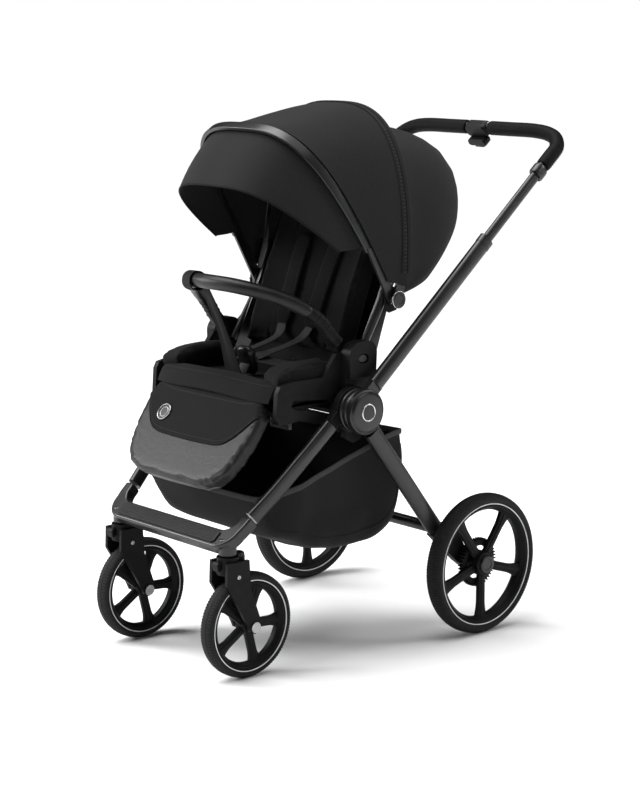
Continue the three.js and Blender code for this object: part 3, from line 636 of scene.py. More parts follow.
def ring_part(radius, minor, x):
    turn = np.arange(10) * 2 * math.pi / 10
    return lathe(np.column_stack([radius + minor * np.cos(turn), x + minor * np.sin(turn)]), 160)


def brake_ring_part(inner, outer, x0, x1, teeth):
    """A toothed ring of the parking brake on the wheel's inside."""
    parts = [lathe([(inner, x0), (outer - 6, x0), (outer - 6, x1), (inner, x1)], 96)]
    for i in range(teeth):
        tooth = plate([(outer - 7, -1.3), (outer, -0.9), (outer, 0.9), (outer - 7, 1.3)], x0, x1)
        parts.append(turned(tooth, 2 * math.pi * i / teeth))
    return joined(*parts)


def make_wheel(kind, label, side, size):
    body = f"{kind}_wheel_{label}"
    place = (side * size["x"], size["y"], size["radius"])
    radius, width, rim, hub = size["radius"], size["width"], size["rim"], size["hub"]
    piece(f"{kind}_tyre_tread_{label}", moved(tyre_part(radius, width, rim, size["blocks"]), place),
          "tyre", body, (f"{kind}_tyre_{label}",), sharp=35)
    piece(f"{kind}_wheel_spider_{label}", moved(rim_part(width, rim, size["phase"], hub), place),
          "plastic", body, (f"{kind}_rim_{label}",), bevel=0.8, segments=2)
    reach, out = size["stripe"]
    stripes = joined(*[ring_part(reach, 1.1, face * out) for face in (-1, 1)])
    piece(f"{kind}_pinstripe_{label}", moved(stripes, place), "stripe", body)


def make_wheels():
    for label, side in SIDES:
        make_wheel("front", label, side, FRONT_WHEEL)
        make_wheel("rear", label, side, REAR_WHEEL)
        place = (side * REAR_WHEEL["x"], REAR_WHEEL["y"], REAR_WHEEL["radius"])
        ring = mirrored(brake_ring_part(36, 52, -17, -6, 44), side)
        piece(f"brake_ring_{label}", moved(ring, place), "plastic", f"rear_wheel_{label}")
        cap = mirrored(moved(cap_part(19, 4.5), (16.3, 0, 0)), side)
        piece(f"rear_axle_cap_{label}", moved(cap, place), "gloss", "rear_frame", sharp=30)
        refined(f"rear_axle_{label}", "plastic", "rear_frame", "cap_plastic", bevel=0.8)
        refined(f"front_axle_{label}", "steel", f"caster_{label}", "hardware", bevel=0.8)


# ---------------------------------------------------------------- casters, tubes and folding hub


def screw_part(radius, depth):
    """A socket screw head standing along +X."""
    return lathe([(0, 0), (radius, 0), (radius, depth * 0.7), (radius * 0.86, depth), (radius * 0.5, depth),
                  (radius * 0.5, depth * 0.35), (0, depth * 0.35)], 24)


def make_casters():
    refined_pair("caster_fork", "plastic", "caster_{}", "frame_plastic", bevel=2.2, segments=3)
    refined_pair("caster_lock", "plastic", "caster_lock_{}", "frame_plastic", bevel=1.5)
    for label, side in SIDES:
        x = side * FRONT_WHEEL["x"]
        screws = joined(*[moved(mirrored(screw_part(4.2, 2.4), face), (x + face * 27.4, -404, 214))
                          for face in (-1, 1)])
        piece(f"fork_screws_{label}", screws, "steel", f"caster_{label}", sharp=30)
        dome = moved(lathe([(0, 0), (13.5, 0), (13.5, 4), (11, 7.5), (6, 9), (0, 9.4)], 40), (x, -384, 249.5),
                     STANDING)
        piece(f"fork_cap_{label}", dome, "gloss", f"caster_{label}", sharp=60)


def neck_part(angle, half, offset, x0, x1):
    box = plate([(24, offset - half), (66, offset - half), (66, offset + half), (24, offset + half)], x0, x1)
    return moved(turned(box, angle), (0, *HUB))


def disc_part(radius, x0, x1, edge=2.0):
    profile = [(8.6, x0), (radius - edge, x0), (radius, x0 + edge), (radius, x1 - edge), (radius - edge, x1),
               (8.6, x1)]
    return moved(lathe(profile, 72), (0, *HUB))


def tube_points(x, slope, offset, start, end, count=12):
    s = np.linspace(start, end, count)
    return np.column_stack([np.full(count, x), HUB[0] + s * math.cos(slope) - offset * math.sin(slope),
                            HUB[1] + s * math.sin(slope) + offset * math.cos(slope)])


def make_tubes():
    front_start = tube_points(223.6, SLOPE + math.pi, -18, 60, 61, 2)[0]
    front_path = smooth_path([front_start, (217, -251, 430), (202, -312, 368), (190, -362.6, 322)], 48)
    collar = tube_points(HANDLE_X, SLOPE, HANDLE_OFFSET, 452, 471, 6)
    for label, side in SIDES:
        tube = sweep(front_path, oval(16, 10.25, 36, 2.3), (1, 0, 0))
        piece(f"front_oval_tube_{label}", mirrored(tube, side), "satin", "chassis",
              (f"front_tube_{label}",), sharp=50)
        leg = joined(disc_part(44, 231.2, 240.4), neck_part(REAR_SLOPE, 16, 0, 231.4, 240.2),
                     sweep(tube_points(240, REAR_SLOPE, 0, 60, 352), oval(18.4, 11.4, 36, 2.4), (1, 0, 0)))
        piece(f"rear_oval_leg_{label}", mirrored(leg, side), "satin", "rear_frame",
              (f"rear_leg_{label}",), sharp=50)
        arm = joined(disc_part(44, 241.2, 254.8), neck_part(SLOPE, 15, HANDLE_OFFSET, 241.4, 254.6),
                     sweep(tube_points(HANDLE_X, SLOPE, HANDLE_OFFSET, 60, 469), oval(17, 11.5, 36, 2.4),
                           (1, 0, 0)),
                     sweep(collar, oval(17.8, 12.3, 36, 2.4), (1, 0, 0)))
        piece(f"upper_oval_tube_{label}", mirrored(arm, side), "satin", "handle",
              (f"upper_tube_{label}",), sharp=50)


def hub_cap_part():
    low, r = 255.6, 45
    return lathe([(0, low), (r, low), (r, low + 10.5), (r - 1, low + 12), (r - 2.6, low + 12.6),
                  (r - 3.2, low + 11.6), (r - 4.2, low + 11.6), (r - 5, low + 13), (r - 8, low + 15.8),
                  (r - 11, low + 16.3), (0, low + 16.3)], 96)


def make_hub():
    refined_pair("hub_housing", "plastic", "chassis", "frame_plastic", bevel=1.2)
    for label, side in SIDES:
        cap = moved(mirrored(hub_cap_part(), side), (0, *HUB))
        piece(f"hub_disc_{label}", cap, "gloss", "chassis", (f"hub_cap_{label}",), sharp=30)
        emblem = ring_part(16.5, 1.5, 271.9)
        piece(f"hub_ring_{label}", moved(mirrored(emblem, side), (0, *HUB)), "silver", "chassis",
              sharp=40)


def crossbar_outline():
    arc = np.linspace(0, math.pi / 2, 15)
    outer = [(202, 0), (201, 22)] + [(153 + 45 * math.cos(a), 40 + 45 * math.sin(a)) for a in arc]
    inner = [(146 + 30 * math.cos(a), 12 + 30 * math.sin(a)) for a in arc[::-1]] + [(178, 0)]
    left_outer = [(-x, s) for x, s in outer[::-1]]
    left_inner = [(-x, s) for x, s in inner[::-1]]
    return outer + left_outer + left_inner + inner


CROSS_ORIGIN = np.array([0, -365.0, 319.0])
CROSS_DOWN = np.array([0, -math.cos(SLOPE), -math.sin(SLOPE)])


def on_crossbar(outline, low, high):
    """An outline of (x, down the slope), extruded from low to high out of the crossbar's plane."""
    part = plate(outline, low, high)
    return moved(part, CROSS_ORIGIN, [PLANE_UP, (1, 0, 0), CROSS_DOWN])


def make_crossbar():
    bar = on_crossbar(crossbar_outline(), -13, 13)
    stems = [moved(lathe([(0, 252.4), (18, 252.4), (18, 288), (0, 288)], 48), (side * 172, -409, 0),
                   STANDING) for _, side in SIDES]
    piece("crossbar_moulding", joined(bar, *stems), "satin", "chassis", ("front_crossbar",),
          bevel=5, segments=5)
    tread = [(-150, 47.5), (150, 47.5), (157, 52), (157, 72), (150, 77.5), (-150, 77.5), (-157, 72),
             (-157, 52)]
    ribs = [on_crossbar([(-148, s), (148, s), (148, s + 1.6), (-148, s + 1.6)], 14, 17.1)
            for s in np.arange(51.5, 75, 4.6)]
    piece("footrest_tread", joined(on_crossbar(tread, 13.3, 16.2), *ribs), "tread", "chassis",
          ("footrest_pad",), bevel=0.5, segments=2)


def make_rear_axle_parts():
    refined_pair("axle_block", "plastic", "rear_frame", "frame_plastic", bevel=3, segments=3)
    refined("rear_cross_tube", "satin", "rear_frame", "frame_metal", bevel=0.8)
    refined("brake_pedal", "plastic", "brake", "frame_plastic", bevel=1.5)


# ---------------------------------------------------------------- handle


def bar_path(start, count):
    half = [(HANDLE_X, start + (HANDLE_BEND - start) * part, HANDLE_OFFSET) for part in (0, 0.5, 0.8, 1)]
    half += [(243, 750, 9), (225, 772, 12), (200, 781, 16), (165, 784, 19), (80, 784, 20)]
    rows = half + [(-x, s, n) for x, s, n in half[::-1]]
    return smooth_path([tube_points(x, SLOPE, n, s, s, 1)[0] for x, s, n in rows], count)


def make_handle():
    bar = [sweep(bar_path(300, 260), oval(8.3, 12, 28, 2.2), PLANE_UP)]
    for _, side in SIDES:
        line = tube_points(side * HANDLE_X, SLOPE, HANDLE_OFFSET, 660, 684, 9)
        scale = np.array([0.93, 0.99, 1, 1, 1, 1, 1, 0.99, 0.94])
        bar.append(sweep(line, oval(17, 13, 36, 2.6), (1, 0, 0), scale=scale))
    piece("push_bar_tube", joined(*bar), "satin", "push_bar", ("push_bar",), sharp=50)
    full = bar_path(690, 1201)
    steps = np.linalg.norm(np.diff(full, axis=0), axis=1)
    place = np.concatenate([[0], np.cumsum(steps)])
    half = full[place <= place[-1] / 2 - 34]
    line = resample(half, 120)
    scale = np.ones(120)
    scale[:3] = (0.93, 0.98, 1.0)
    scale[-3:] = (1.0, 0.98, 0.93)
    inward = unit(-np.cross(np.gradient(line, axis=0), PLANE_UP))
    under = unit(inward * -0.45 - PLANE_UP * 0.9)
    for label, side in SIDES:
        node = f"grip_{label}"
        wrap = sweep(line, oval(15.5, 15.5, 36), PLANE_UP, scale=scale)
        piece(f"grip_leather_{label}", mirrored(wrap, side), "grip", "push_bar", (node,), sharp=60)
        seam = cord(line[3:-3] + under[3:-3] * 15.3, 0.8, PLANE_UP)
        rows = [stitches((line + (under * 0.97 + inward * turn) * 15.2)[4:-4], under[4:-4],
                         3.4, 2.6, 0.4, 0.3) for turn in (-0.22, 0.22)]
        piece(f"grip_seam_{label}", mirrored(joined(seam, *rows), side), "thread", "push_bar")
    refined("handle_console", "plastic", "push_bar", "frame_plastic", bevel=1.2)
    refined("handle_button", "gloss", "fold_button", "button_plastic", bevel=0.6)


# ---------------------------------------------------------------- seat unit


def back_point(shift, v, x):
    line = smooth_path([(0, y + shift, z) for y, z in BACK_LINE], 101)
    point = line[int(round(v * 100))]
    return np.array([x, point[1], point[2]])


def back_grid(shift, half, rows, columns, top=1.0, low=0.0, wing=0.0):
    line = smooth_path([(0, y + shift, z) for y, z in BACK_LINE], 101)
    grid = []
    for v in np.linspace(low, top, rows):
        centre = np.array([np.interp(v * 100, np.arange(101), line[:, k]) for k in (1, 2)])
        width = half(v) if callable(half) else half
        row = []
        for u in np.linspace(-1, 1, columns):
            row.append((width * u, centre[0] - wing * abs(u) ** 4, centre[1]))
        grid.append(row)
    return np.array(grid, float)


def rounded_half(v, half, corner=0.12):
    """Half width of a pad whose upper corners are rounded."""
    if v < 1 - corner:
        return half
    share = (v - (1 - corner)) / corner
    return half * (1 - 0.32 * (1 - math.sqrt(max(0.0, 1 - share ** 2))))


def make_backrest():
    rails = sweep(smooth_path([
        (192, -94, 598), (192, -66, 640), (190, -24, 708), (187, 20, 800), (180, 64, 900), (150, 92, 956),
        (90, 96, 968), (0, 96, 970), (-90, 96, 968), (-150, 92, 956), (-180, 64, 900), (-187, 20, 800),
        (-190, -24, 708), (-192, -66, 640), (-192, -94, 598)], 140), oval(7, 9, 20, 2.2), (0, -0.75, 0.66))
    cheek = plate([(-100, 574), (-70, 640), (-28, 720), (6, 800), (52, 880), (62, 868), (42, 800), (12, 740),
                   (-16, 660), (-40, 590), (-84, 566)], 183.5, 188.5)
    eye = moved(lathe([(5, 183), (14, 183), (14, 186.5), (5, 186.5)], 36), (0, -104, 566))
    cheeks = joined(cheek, eye)
    piece("backrest_rail", joined(rails, cheeks, mirrored(cheeks, -1)), "satin", "backrest",
          ("back_frame",), sharp=50)
    board = new_object("back_cover", shell(back_grid(35, lambda v: rounded_half(v, 178), 40, 40), 9))
    puffed(board, 3, voxel=6)
    for x in (-96, 96):
        press_seam(board, [(x, *back_point(40, v, 0)[1:]) for v in (0.06, 0.4, 0.7, 0.94)], 3, 2.5)
    dress(board, "seat", "backrest")

    grid = back_grid(4, lambda v: rounded_half(v, 156), 30, 34, 0.985, 0.015, 22)
    pad = new_object("backrest_cushion", shell(grid, 34))
    puffed(pad, 7, voxel=5.5)
    for x in (-88, 88):
        press_seam(pad, [(x, *back_point(-18, v, 0)[1:]) for v in (0.02, 0.3, 0.62, 0.97)], 4, 5)
    for v in (0.36, 0.7):
        press_seam(pad, [(x, *back_point(-18, v, 0)[1:]) for x in (-86, 0, 86)], 3.5, 4)
    dress(pad, "seat", "backrest", ("backrest_pad",))


def strap_part(path, width, thickness, up):
    return sweep(path, oval(width / 2, thickness / 2, 16, 6), up)


def make_harness():
    for label, side in SIDES:
        line = smooth_path([(side * (52 - 3 * k), *back_point(-30, v, 0)[1:])
                            for k, v in enumerate((0.66, 0.5, 0.32, 0.16))], 40)
        scale = np.ones((40, 2))
        scale[:4, 0] = (0.7, 0.86, 0.95, 1)
        scale[-4:, 0] = (1, 0.95, 0.86, 0.7)
        pad = sweep(line, oval(21, 4, 24, 3), (0, -0.9, 0.3), scale=scale)
        obj = piece(f"harness_pad_{label}", pad, "seat", "backrest", (f"harness_{label}",),
                    sharp=60)
        edge = [line + np.array([dx, -4.1, 0]) for dx in (-16, 16)]
        rows = joined(*[stitches(row[3:-3], (0, -0.9, 0.3), 3.5, 2.5, 0.4) for row in edge])
        piece(f"harness_stitches_{label}", rows, "thread", "backrest")
        low = line[-1]
        tail = smooth_path([low, low + (-side * 8, -18, -22), (side * 26, -196, 604),
                            (side * 17, -206, 600)], 30)
        strap = piece(f"harness_tail_{label}", strap_part(tail, 24, 1.8, (0, -0.7, 0.7)), "webbing", None,
                      sharp=60)
        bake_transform(strap)
        lap = smooth_path([(side * 133, -118, 588), (side * 104, -142, 584), (side * 66, -176, 588),
                           (side * 22, -205, 597)], 30)
        piece(f"lap_strap_{label}", strap_part(lap, 24, 1.8, (0, -0.5, 0.85)), "webbing", "chassis",
              sharp=60)
        slider = moved(plate([(-15, -4), (15, -4), (15, 4), (-15, 4)], -17, 17), lap[14] + (0, 0, 1),
                       [(0.8 * side, -0.55, 0.1), (0, 0.2, 0.97), (0.55, 0.8 * side, 0)])
        piece(f"strap_slider_{label}", slider, "gloss", "chassis", bevel=2.5, segments=3)


def make_seat():
    base = plate([(-264, 532), (-272, 548), (-284, 555), (-286, 563), (-278, 567), (-262, 563), (-240, 556),
                  (-144, 551), (-142, 532)], -150, 150)
    bolster = [(-264, 532), (-278, 556), (-292, 576), (-291, 592), (-274, 602), (-238, 608), (-196, 606),
               (-154, 606), (-149, 534)]
    sides = [plate(bolster, side * 161 - 24, side * 161 + 24) for _, side in SIDES]
    cushion = new_object("seat_pad", joined(base, *sides))
    puffed(cushion, 6, voxel=5)
    for side in (-1, 1):
        press_seam(cushion, [(side * 136, -266, 562), (side * 136, -210, 560), (side * 136, -150, 558)], 5, 4)
    press_seam(cushion, [(x, -214, 556) for x in (-130, 0, 130)], 3, 3)
    dress(cushion, "seat", "chassis", ("seat_cushion",))
    refined("seat_frame", "plastic", "chassis", "frame_plastic", bevel=1.8)
    refined_pair("seat_adapter", "plastic", "chassis", "frame_plastic", bevel=1.6, segments=3)
    refined_pair("adapter_button", "gloss", "adapter_button_{}", "button_plastic", bevel=0.8)
    refined("crotch_buckle", "gloss", "chassis", "button_plastic", bevel=2)
    strap = smooth_path([(0, -240, 557), (0, -232, 566), (0, -222, 580), (0, -216, 592)], 16)
    piece("crotch_strap", strap_part(strap, 30, 2.2, (0, -0.85, 0.5)), "webbing", "chassis",
          sharp=60)
    profile = smooth_path([(0, -156, 554), (0, -128, 556), (0, -98, 570), (0, -76, 598), (0, -58, 632)], 20)
    grid = [[(x, y, z - 4 * math.cos(x / 60)) for x in np.linspace(-150, 150, 41)] for _, y, z in profile]
    gusset = cloth_sheet("seat_gusset", grid, 2.2, "seat")
    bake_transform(gusset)
    make_apron()
    refined("legrest_lever", "gloss", "recline_lever", "frame_plastic", bevel=1.6)


def make_apron():
    """The fabric that rolls over the seat's front edge down on to the legrest."""
    rows = []
    profile = smooth_path([(-236, 559), (-262, 571), (-284, 575), (-300, 568), (-311, 552), (-317, 540)], 24)
    for k, (y, z) in enumerate(profile):
        half = 150 + 26 * min(1, k / 14)
        rows.append([(half * u, y + 9 * abs(u) ** 6, z + 2 * math.cos(math.pi * u))
                     for u in np.linspace(-1, 1, 61)])
    apron = cloth_sheet("seat_apron", ripple(rows, 70, 1.4), 2.2, "seat")
    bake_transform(apron)
    seam = np.array(rows[15])[1:-1]
    piece("apron_stitches", stitches(seam + (0, -0.8, 0.8), (0, -0.7, 0.7), 4, 3, 0.4, 1.3), "thread",
          "chassis")


def leg_point(x, s, out):
    return LEG_HINGE + np.array([x, 0, 0]) + LEG_DOWN * s + LEG_FRONT * out


LEG_HALF = [(0, -14), (100, -14), (146, -12), (168, -2), (178, 20), (181, 52), (180, 84), (172, 128),
            (160, 160), (140, 182), (112, 194), (80, 198), (0, 199)]
LEATHER_EDGE = [(-178, 22), (-164, 40), (-148, 64), (-128, 88), (-112, 100), (-92, 106), (-60, 108), (0, 109),
                (60, 108), (92, 106), (112, 100), (128, 88), (148, 64), (164, 40), (178, 22)]


def make_legrest():
    inset = [(x * 0.99, s * 0.985 + 1) for x, s in LEG_HALF]
    outline = inset + [(-x, s) for x, s in inset[-2:0:-1]]
    core = plate(outline, -14, 14)
    pad = new_object("legrest_cushion", moved(core, LEG_HINGE, [LEG_FRONT, (1, 0, 0), LEG_DOWN]))
    puffed(pad, 3.5, voxel=5, pressure=2.5)
    rim = smooth_path([leg_point(x, s, 0) for x, s in outline + outline[:1]], 200)
    press_seam(pad, rim, 3, 2.5)
    dress(pad, "leather", "legrest", ("legrest_pad",))

    edge = smooth_path([(x, 0, s) for x, s in LEATHER_EDGE], 81)
    origins = [[leg_point(x, -8 + (s + 8) * v, 80) for x, _, s in edge] for v in np.linspace(0, 1, 30)]
    flat = np.array(origins).reshape(-1, 3)
    hits, normals = surface_hits(pad, flat, -LEG_FRONT)
    grid = (hits + normals * 1.1).reshape(30, 81, 3)
    cloth_sheet("legrest_fabric", grid, 1.7, "seat",
                "legrest")
    border = grid[-1][2:-2]
    out = normals.reshape(30, 81, 3)[-1][2:-2]
    piece("legrest_edge_cord", cord(border + out * 0.2, 1.4, LEG_FRONT, 10), "seat", "legrest",
          sharp=60)
    inner = grid[-3][3:-3]
    piece("legrest_stitches", stitches(inner, LEG_FRONT, 4, 3, 0.4, 1.0), "thread", "legrest")
    fold = resample(grid[5], 84)[2:-2]
    piece("legrest_top_seam", cord(fold, 0.9, LEG_FRONT), "thread", "legrest", sharp=60)
    centre, normal = surface_hits(pad, [leg_point(-97, 65, 80)], -LEG_FRONT)
    disc = lathe([(0, 0), (18.5, 0), (18.5, 1.6), (17.6, 2.4), (15.8, 2.4), (15, 1.2), (0, 1.2)], 64)
    rings = joined(ring_part(17, 1.0, 2.3), ring_part(10.5, 0.8, 1.3))
    axis = normal[0] / np.linalg.norm(normal[0])
    across = np.cross((0, 0, 1), axis)
    across /= np.linalg.norm(across)
    place = (centre[0] + axis * 2.0, [axis, across, np.cross(axis, across)])
    piece("legrest_badge", moved(disc, *place), "gloss", "legrest", sharp=30)
    piece("legrest_badge_rings", moved(rings, *place), "steel", "legrest", sharp=30)


# ---------------------------------------------------------------- bumper bar

BUMPER = [(184, -137, 642), (183, -150, 655), (178, -172, 684), (164, -205, 712), (130, -248, 738),
          (70, -296, 756), (0, -312, 760)]
BUMPER_UP = (0, 0.559, 0.829)
STRAP_TOP = 60


def make_bumper():
    path = smooth_path(BUMPER + [(-x, y, z) for x, y, z in BUMPER[-2::-1]], 241)
    middle = path[34:-34]
    scale = np.ones(len(middle))
    scale[:3], scale[-3:] = (0.92, 0.98, 1), (1, 0.98, 0.92)
    piece("bumper_leather", sweep(middle, oval(14.8, 14.8, 36), BUMPER_UP, scale=scale), "leather", "bumper",
          ("bumper_bar",), sharp=60)
    seam = middle[4:-4] + np.array([0, 9.6, -11.2])
    piece("bumper_seam", joined(cord(seam, 0.8, BUMPER_UP),
                                stitches(seam + (0, 1.6, 1.2), (0, 0.65, -0.75), 3.6, 2.6, 0.4)),
          "thread", "bumper")
    ends = []
    for part in (path[:36], path[-36:][::-1]):
        girth = np.full(36, 0.93)
        girth[::6] = 0.97
        ends.append(sweep(part, oval(14.4, 14.4, 36, 2.6), BUMPER_UP, scale=girth))
        ends += [sweep(part[k:k + 3], oval(14.6, 14.6, 36, 2.6), BUMPER_UP, scale=[0.96, 1, 0.96])
                 for k in (10, 15, 20, 25)]
    piece("bumper_sockets", joined(*ends), "plastic", "bumper", sharp=50)
    make_bumper_strap(path)


def make_bumper_strap(path):
    """A cloth loop round the bar, falling to the middle of the seat's front edge."""
    half, columns = 26, 13
    nearest = path[int(np.argmin(np.abs(path[:, 0] + STRAP_TOP)))]
    tangent = np.array([0.93, -0.36, 0.09])
    tangent /= np.linalg.norm(tangent)
    back = np.cross(tangent, (0, 0, 1))
    back /= np.linalg.norm(back)
    up = np.cross(back, tangent)
    spread = np.linspace(-half, half, columns)
    rows = []
    for angle in np.linspace(-2.35, 3.6, 24):
        slack = 17.2 + 4 * max(0.0, -math.sin(angle))
        centre = nearest + (back * math.cos(angle) + up * math.sin(angle)) * slack
        rows.append([centre + tangent * w for w in spread])
    start = np.array(rows[-1])
    low = np.array([[3 + w * 0.96, -251, 565] for w in spread])
    for t in np.linspace(0, 1, 28)[1:]:
        row = start + (low - start) * t
        pinch = 1 - 0.14 * math.sin(math.pi * t) ** 2
        centre = row.mean(axis=0)
        row = centre + (row - centre) * pinch
        sag = math.sin(math.pi * t)
        row[:, 1] += 8 * sag + 2.4 * np.sin(np.linspace(0, 2 * math.pi, columns)) * sag
        rows.append(row)
    obj = cloth_sheet("bumper_strap_fabric", rows, 2.0, "seat",
                      nodes=("bumper_strap",))
    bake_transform(obj)


# ---------------------------------------------------------------- canopy


def arch_line(arch, grow, low, count):
    t = np.linspace(low, 1 - low, 600) * math.pi
    bits = [np.sign(f) * np.abs(f) ** (2 / arch["power"]) for f in (np.cos(t), np.sin(t))]
    across, up = (arch["half"] + grow) * bits[0], (arch["height"] + grow) * bits[1]
    lean = math.radians(arch["lean"])
    points = np.stack([across, arch["y"] - up * math.sin(lean), arch["z"] + up * math.cos(lean)], axis=1)
    return resample(points, count)


def arch_normal(arch):
    lean = math.radians(arch["lean"])
    return np.array([0, math.cos(lean), math.sin(lean)])


def mixed_arch(a, b, v, dip=0.0):
    """An arch between a and b; dip is the sag of the cloth, deepest a third of the way."""
    arch = {key: a[key] + (b[key] - a[key]) * v for key in a}
    arch["height"] -= dip * math.sin(math.pi * v ** 0.66)
    return arch


def arch_series(arches, count):
    """Arches that pass smoothly through the given ones."""
    table = smooth_path([list(arch.values()) for arch in arches], count)
    return [dict(zip(arches[0], row)) for row in table]


def ripple(grid, size, height):
    """Shallow waves in a stretched sheet, still at its borders."""
    grid = np.array(grid, float)
    normal = grid_normals(grid)
    rows, columns = grid.shape[:2]
    for i in range(rows):
        calm = math.sin(math.pi * i / (rows - 1))
        for j in range(columns):
            wave = noise.noise(Vector(grid[i, j] / size))
            grid[i, j] += normal[i, j] * wave * height * calm
    return grid


def eye_part(arch, x0, x1):
    foot = arch_line(arch, 0, 0.04, 9)[0]
    y, z = PIVOT
    top = foot[2] + 4
    arm = plate([(y - 14, z - 8), (y + 14, z - 8), (foot[1] + 9, top), (foot[1] - 9, top)], x0, x1)
    return joined(arm, moved(lathe([(6.4, x0), (15, x0), (15, x1), (6.4, x1)], 40), (0, y, z)))


def bow_part(arch, section, count, x0, x1):
    """A bow along an arch, with a flat eye on the pivot at each end."""
    eyes = [mirrored(eye_part(arch, x0, x1), side) for _, side in SIDES]
    return joined(sweep(arch_line(arch, 0, 0.04, count), section, arch_normal(arch)), *eyes)


def make_bows():
    band = np.array([(-5, -8), (-4, -10), (3, -10), (5, -7.5), (5.4, -2), (5.4, 2), (5, 7.5), (3, 10),
                     (-4, 10), (-5, 8)])
    front = bow_part(FRONT_BOW, band, 160, 205.3, 211.7)
    piece("front_bow_band", front, "satin", "canopy_front", ("canopy_bow_front",), bevel=0.8,
          segments=2)
    mid = bow_part(MID_BOW, oval(3, 6, 16, 3), 120, 213.3, 219.7)
    piece("mid_bow_rod", mid, "satin", "canopy_mid", ("canopy_bow_mid",), bevel=0.6, segments=2)


def make_canopy():
    columns = 97
    rows = [arch_line(mixed_arch(FRONT_BOW, MID_BOW, 0.06 + 0.94 * v, 24), 8.5, 0.006, columns)
            for v in np.linspace(0, 1, 34)]
    grid = ripple(rows, 90, 2.0)
    top = cloth_sheet("canopy_top_fabric", grid, 2.0, "canopy",
                      nodes=("canopy_front_panel",))
    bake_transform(top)

    start = dict(MID_BOW, half=MID_BOW["half"] + 3.5, height=MID_BOW["height"] + 3.5)
    arches = arch_series([start, HOOD_TOP, HOOD_BACK, HOOD_FOOT], 30)
    grid = ripple([arch_line(arch, 1.5, 0.012, columns) for arch in arches], 80, 2.4)
    hood = cloth_sheet("canopy_rear_fabric", grid, 2.0, "canopy",
                       nodes=("canopy_rear_panel",))
    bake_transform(hood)

    rows = [arch_line(mixed_arch(VISOR_EDGE, FRONT_BOW, v * 0.94), -6 * v, 0.05 + 0.03 * (1 - v) ** 2,
                      columns) for v in np.linspace(0, 1, 18)]
    grid = ripple(rows, 110, 2.0)
    cloth_sheet("canopy_visor_fabric", grid, 2.2, "canopy",
                "canopy_front", ("canopy_visor",))
    piece("visor_binding", cord(grid[0], 2.0, arch_normal(VISOR_EDGE), 10), "seat", "canopy_front",
          sharp=60)
    make_ridge()
    make_canopy_hinges()


def make_ridge():
    """The raised double seam over the middle bow."""
    normal = arch_normal(MID_BOW)
    line = arch_line(MID_BOW, 9.8, 0.02, 140)
    parts = [cord(line + normal * shift, radius, normal, 10)
             for shift, radius in ((-14, 1.3), (0, 1.6))]
    parts.append(sweep(line + normal * 5, oval(1.6, 4.6, 16, 3), normal))
    piece("canopy_ridge_cords", joined(*parts), "canopy", "canopy_mid", sharp=60)
    middle = np.array([0, MID_BOW["y"], MID_BOW["z"] + 120])
    outward = line - middle
    rows = [stitches(line + normal * shift, outward, 4.5, 3, 0.45, 0.6) for shift in (-9, -6)]
    piece("canopy_ridge_stitches", joined(*rows), "thread", "canopy_mid")


def make_canopy_hinges():
    refined_pair("canopy_hinge", "plastic", "backrest", "frame_plastic", bevel=1.6)
    for label, side in SIDES:
        knuckle = mirrored(moved(cap_part(17, 5), (220.6, *PIVOT)), side)
        piece(f"canopy_knuckle_{label}", knuckle, "gloss", "canopy_mid", sharp=30)
        rim = mirrored(moved(ring_part(17.4, 0.7, 223.5), (0, *PIVOT)), side)
        piece(f"canopy_knuckle_ring_{label}", rim, "silver", "canopy_mid")


# ---------------------------------------------------------------- basket

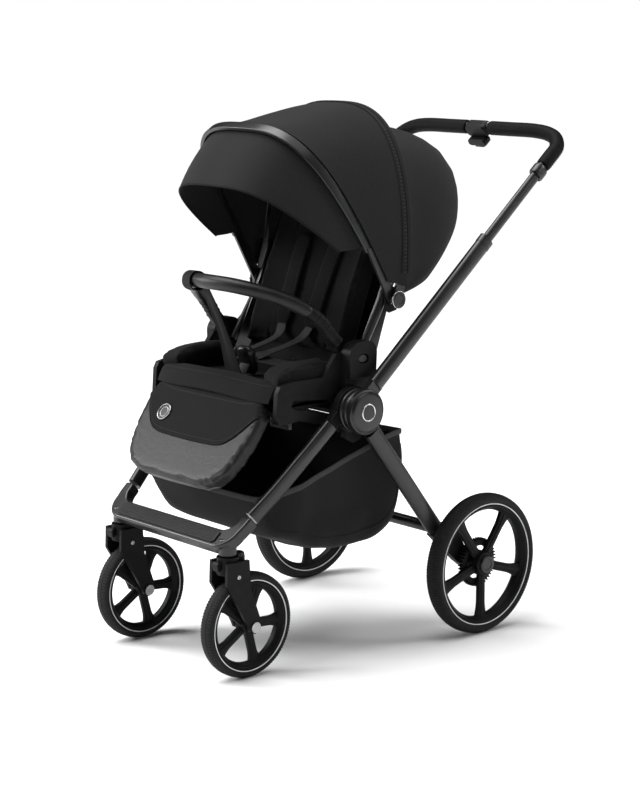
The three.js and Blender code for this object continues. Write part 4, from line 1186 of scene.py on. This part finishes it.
BASKET_FLOOR = [(-338, 352), (-320, 316), (-302, 280), (-290, 266), (-240, 248), (-166, 216), (-60, 209),
                (8, 219), (36, 236), (46, 262), (43, 330), (29, 400), (14, 446)]
BASKET_CORNER = 7.5
BASKET_RIM = [(-338, 352), (-300, 357), (-234, 377), (-160, 400), (-62, 431), (-20, 441), (14, 446)]


def basket_width(y, z):
    rise = min(1.0, max(0.0, (z - 212) / 180))
    front = max(0.0, (-250 - y) / 112)
    return 100 * (1.9 + 0.24 * rise) * (1 - 0.18 * front)


def make_basket():
    rows, columns = 56, 97
    floor = smooth_path([(0, y, z) for y, z in BASKET_FLOOR], rows)
    rim = smooth_path([(0, y, z) for y, z in BASKET_RIM], rows)
    grid = []
    for low, high in zip(floor, rim):
        row = []
        for q in np.linspace(-1, 1, columns):
            turn = q * math.pi / 2
            across = math.copysign(abs(math.sin(turn)) ** (2 / BASKET_CORNER), q)
            depth = abs(math.cos(turn)) ** (2 / BASKET_CORNER)
            point = high + (low - high) * depth
            wall = math.sin(math.pi * min(1, depth))
            width = basket_width(point[1], point[2]) - 1.5 - 5 * wall * abs(across) ** 6
            row.append((width * across, point[1], point[2] - 2.5 * depth * (1 - abs(across) ** 3)))
        grid.append(row)
    grid = ripple(grid, 60, 4.5)
    cloth_sheet("basket_cloth", grid, 2.4, "basket",
                "chassis", ("basket",))
    loop = np.vstack([grid[:, 0], grid[-1, 1:], grid[::-1, -1][1:], grid[0, ::-1][1:-1]])
    keep = np.concatenate([[True], np.linalg.norm(np.diff(loop, axis=0), axis=1) > 0.5])
    loop = resample(np.vstack([loop[keep], loop[:1]]), 261)[:-1]
    hem = sweep(loop, oval(1.8, 6, 12, 3), (0, 0.02, 1), closed=True)
    piece("basket_hem", hem, "webbing", "chassis", sharp=60)
    cords = []
    for column in (14, 82):
        line = resample(grid[3:-3, column], 60) + (math.copysign(1.6, column - 48), 0, 0)
        cords.append(cord(line, 1.3, (1, 0.01, 0.02)))
    piece("basket_seams", joined(*cords), "basket", "chassis", sharp=60)


# ---------------------------------------------------------------- assembly

make_camera()
LOOKS = make_looks()
make_studio()
make_wheels()
make_casters()
make_tubes()
make_hub()
make_crossbar()
make_rear_axle_parts()
make_handle()
make_seat()
make_backrest()
make_harness()
make_legrest()
make_bumper()
make_bows()
make_canopy()
make_basket()
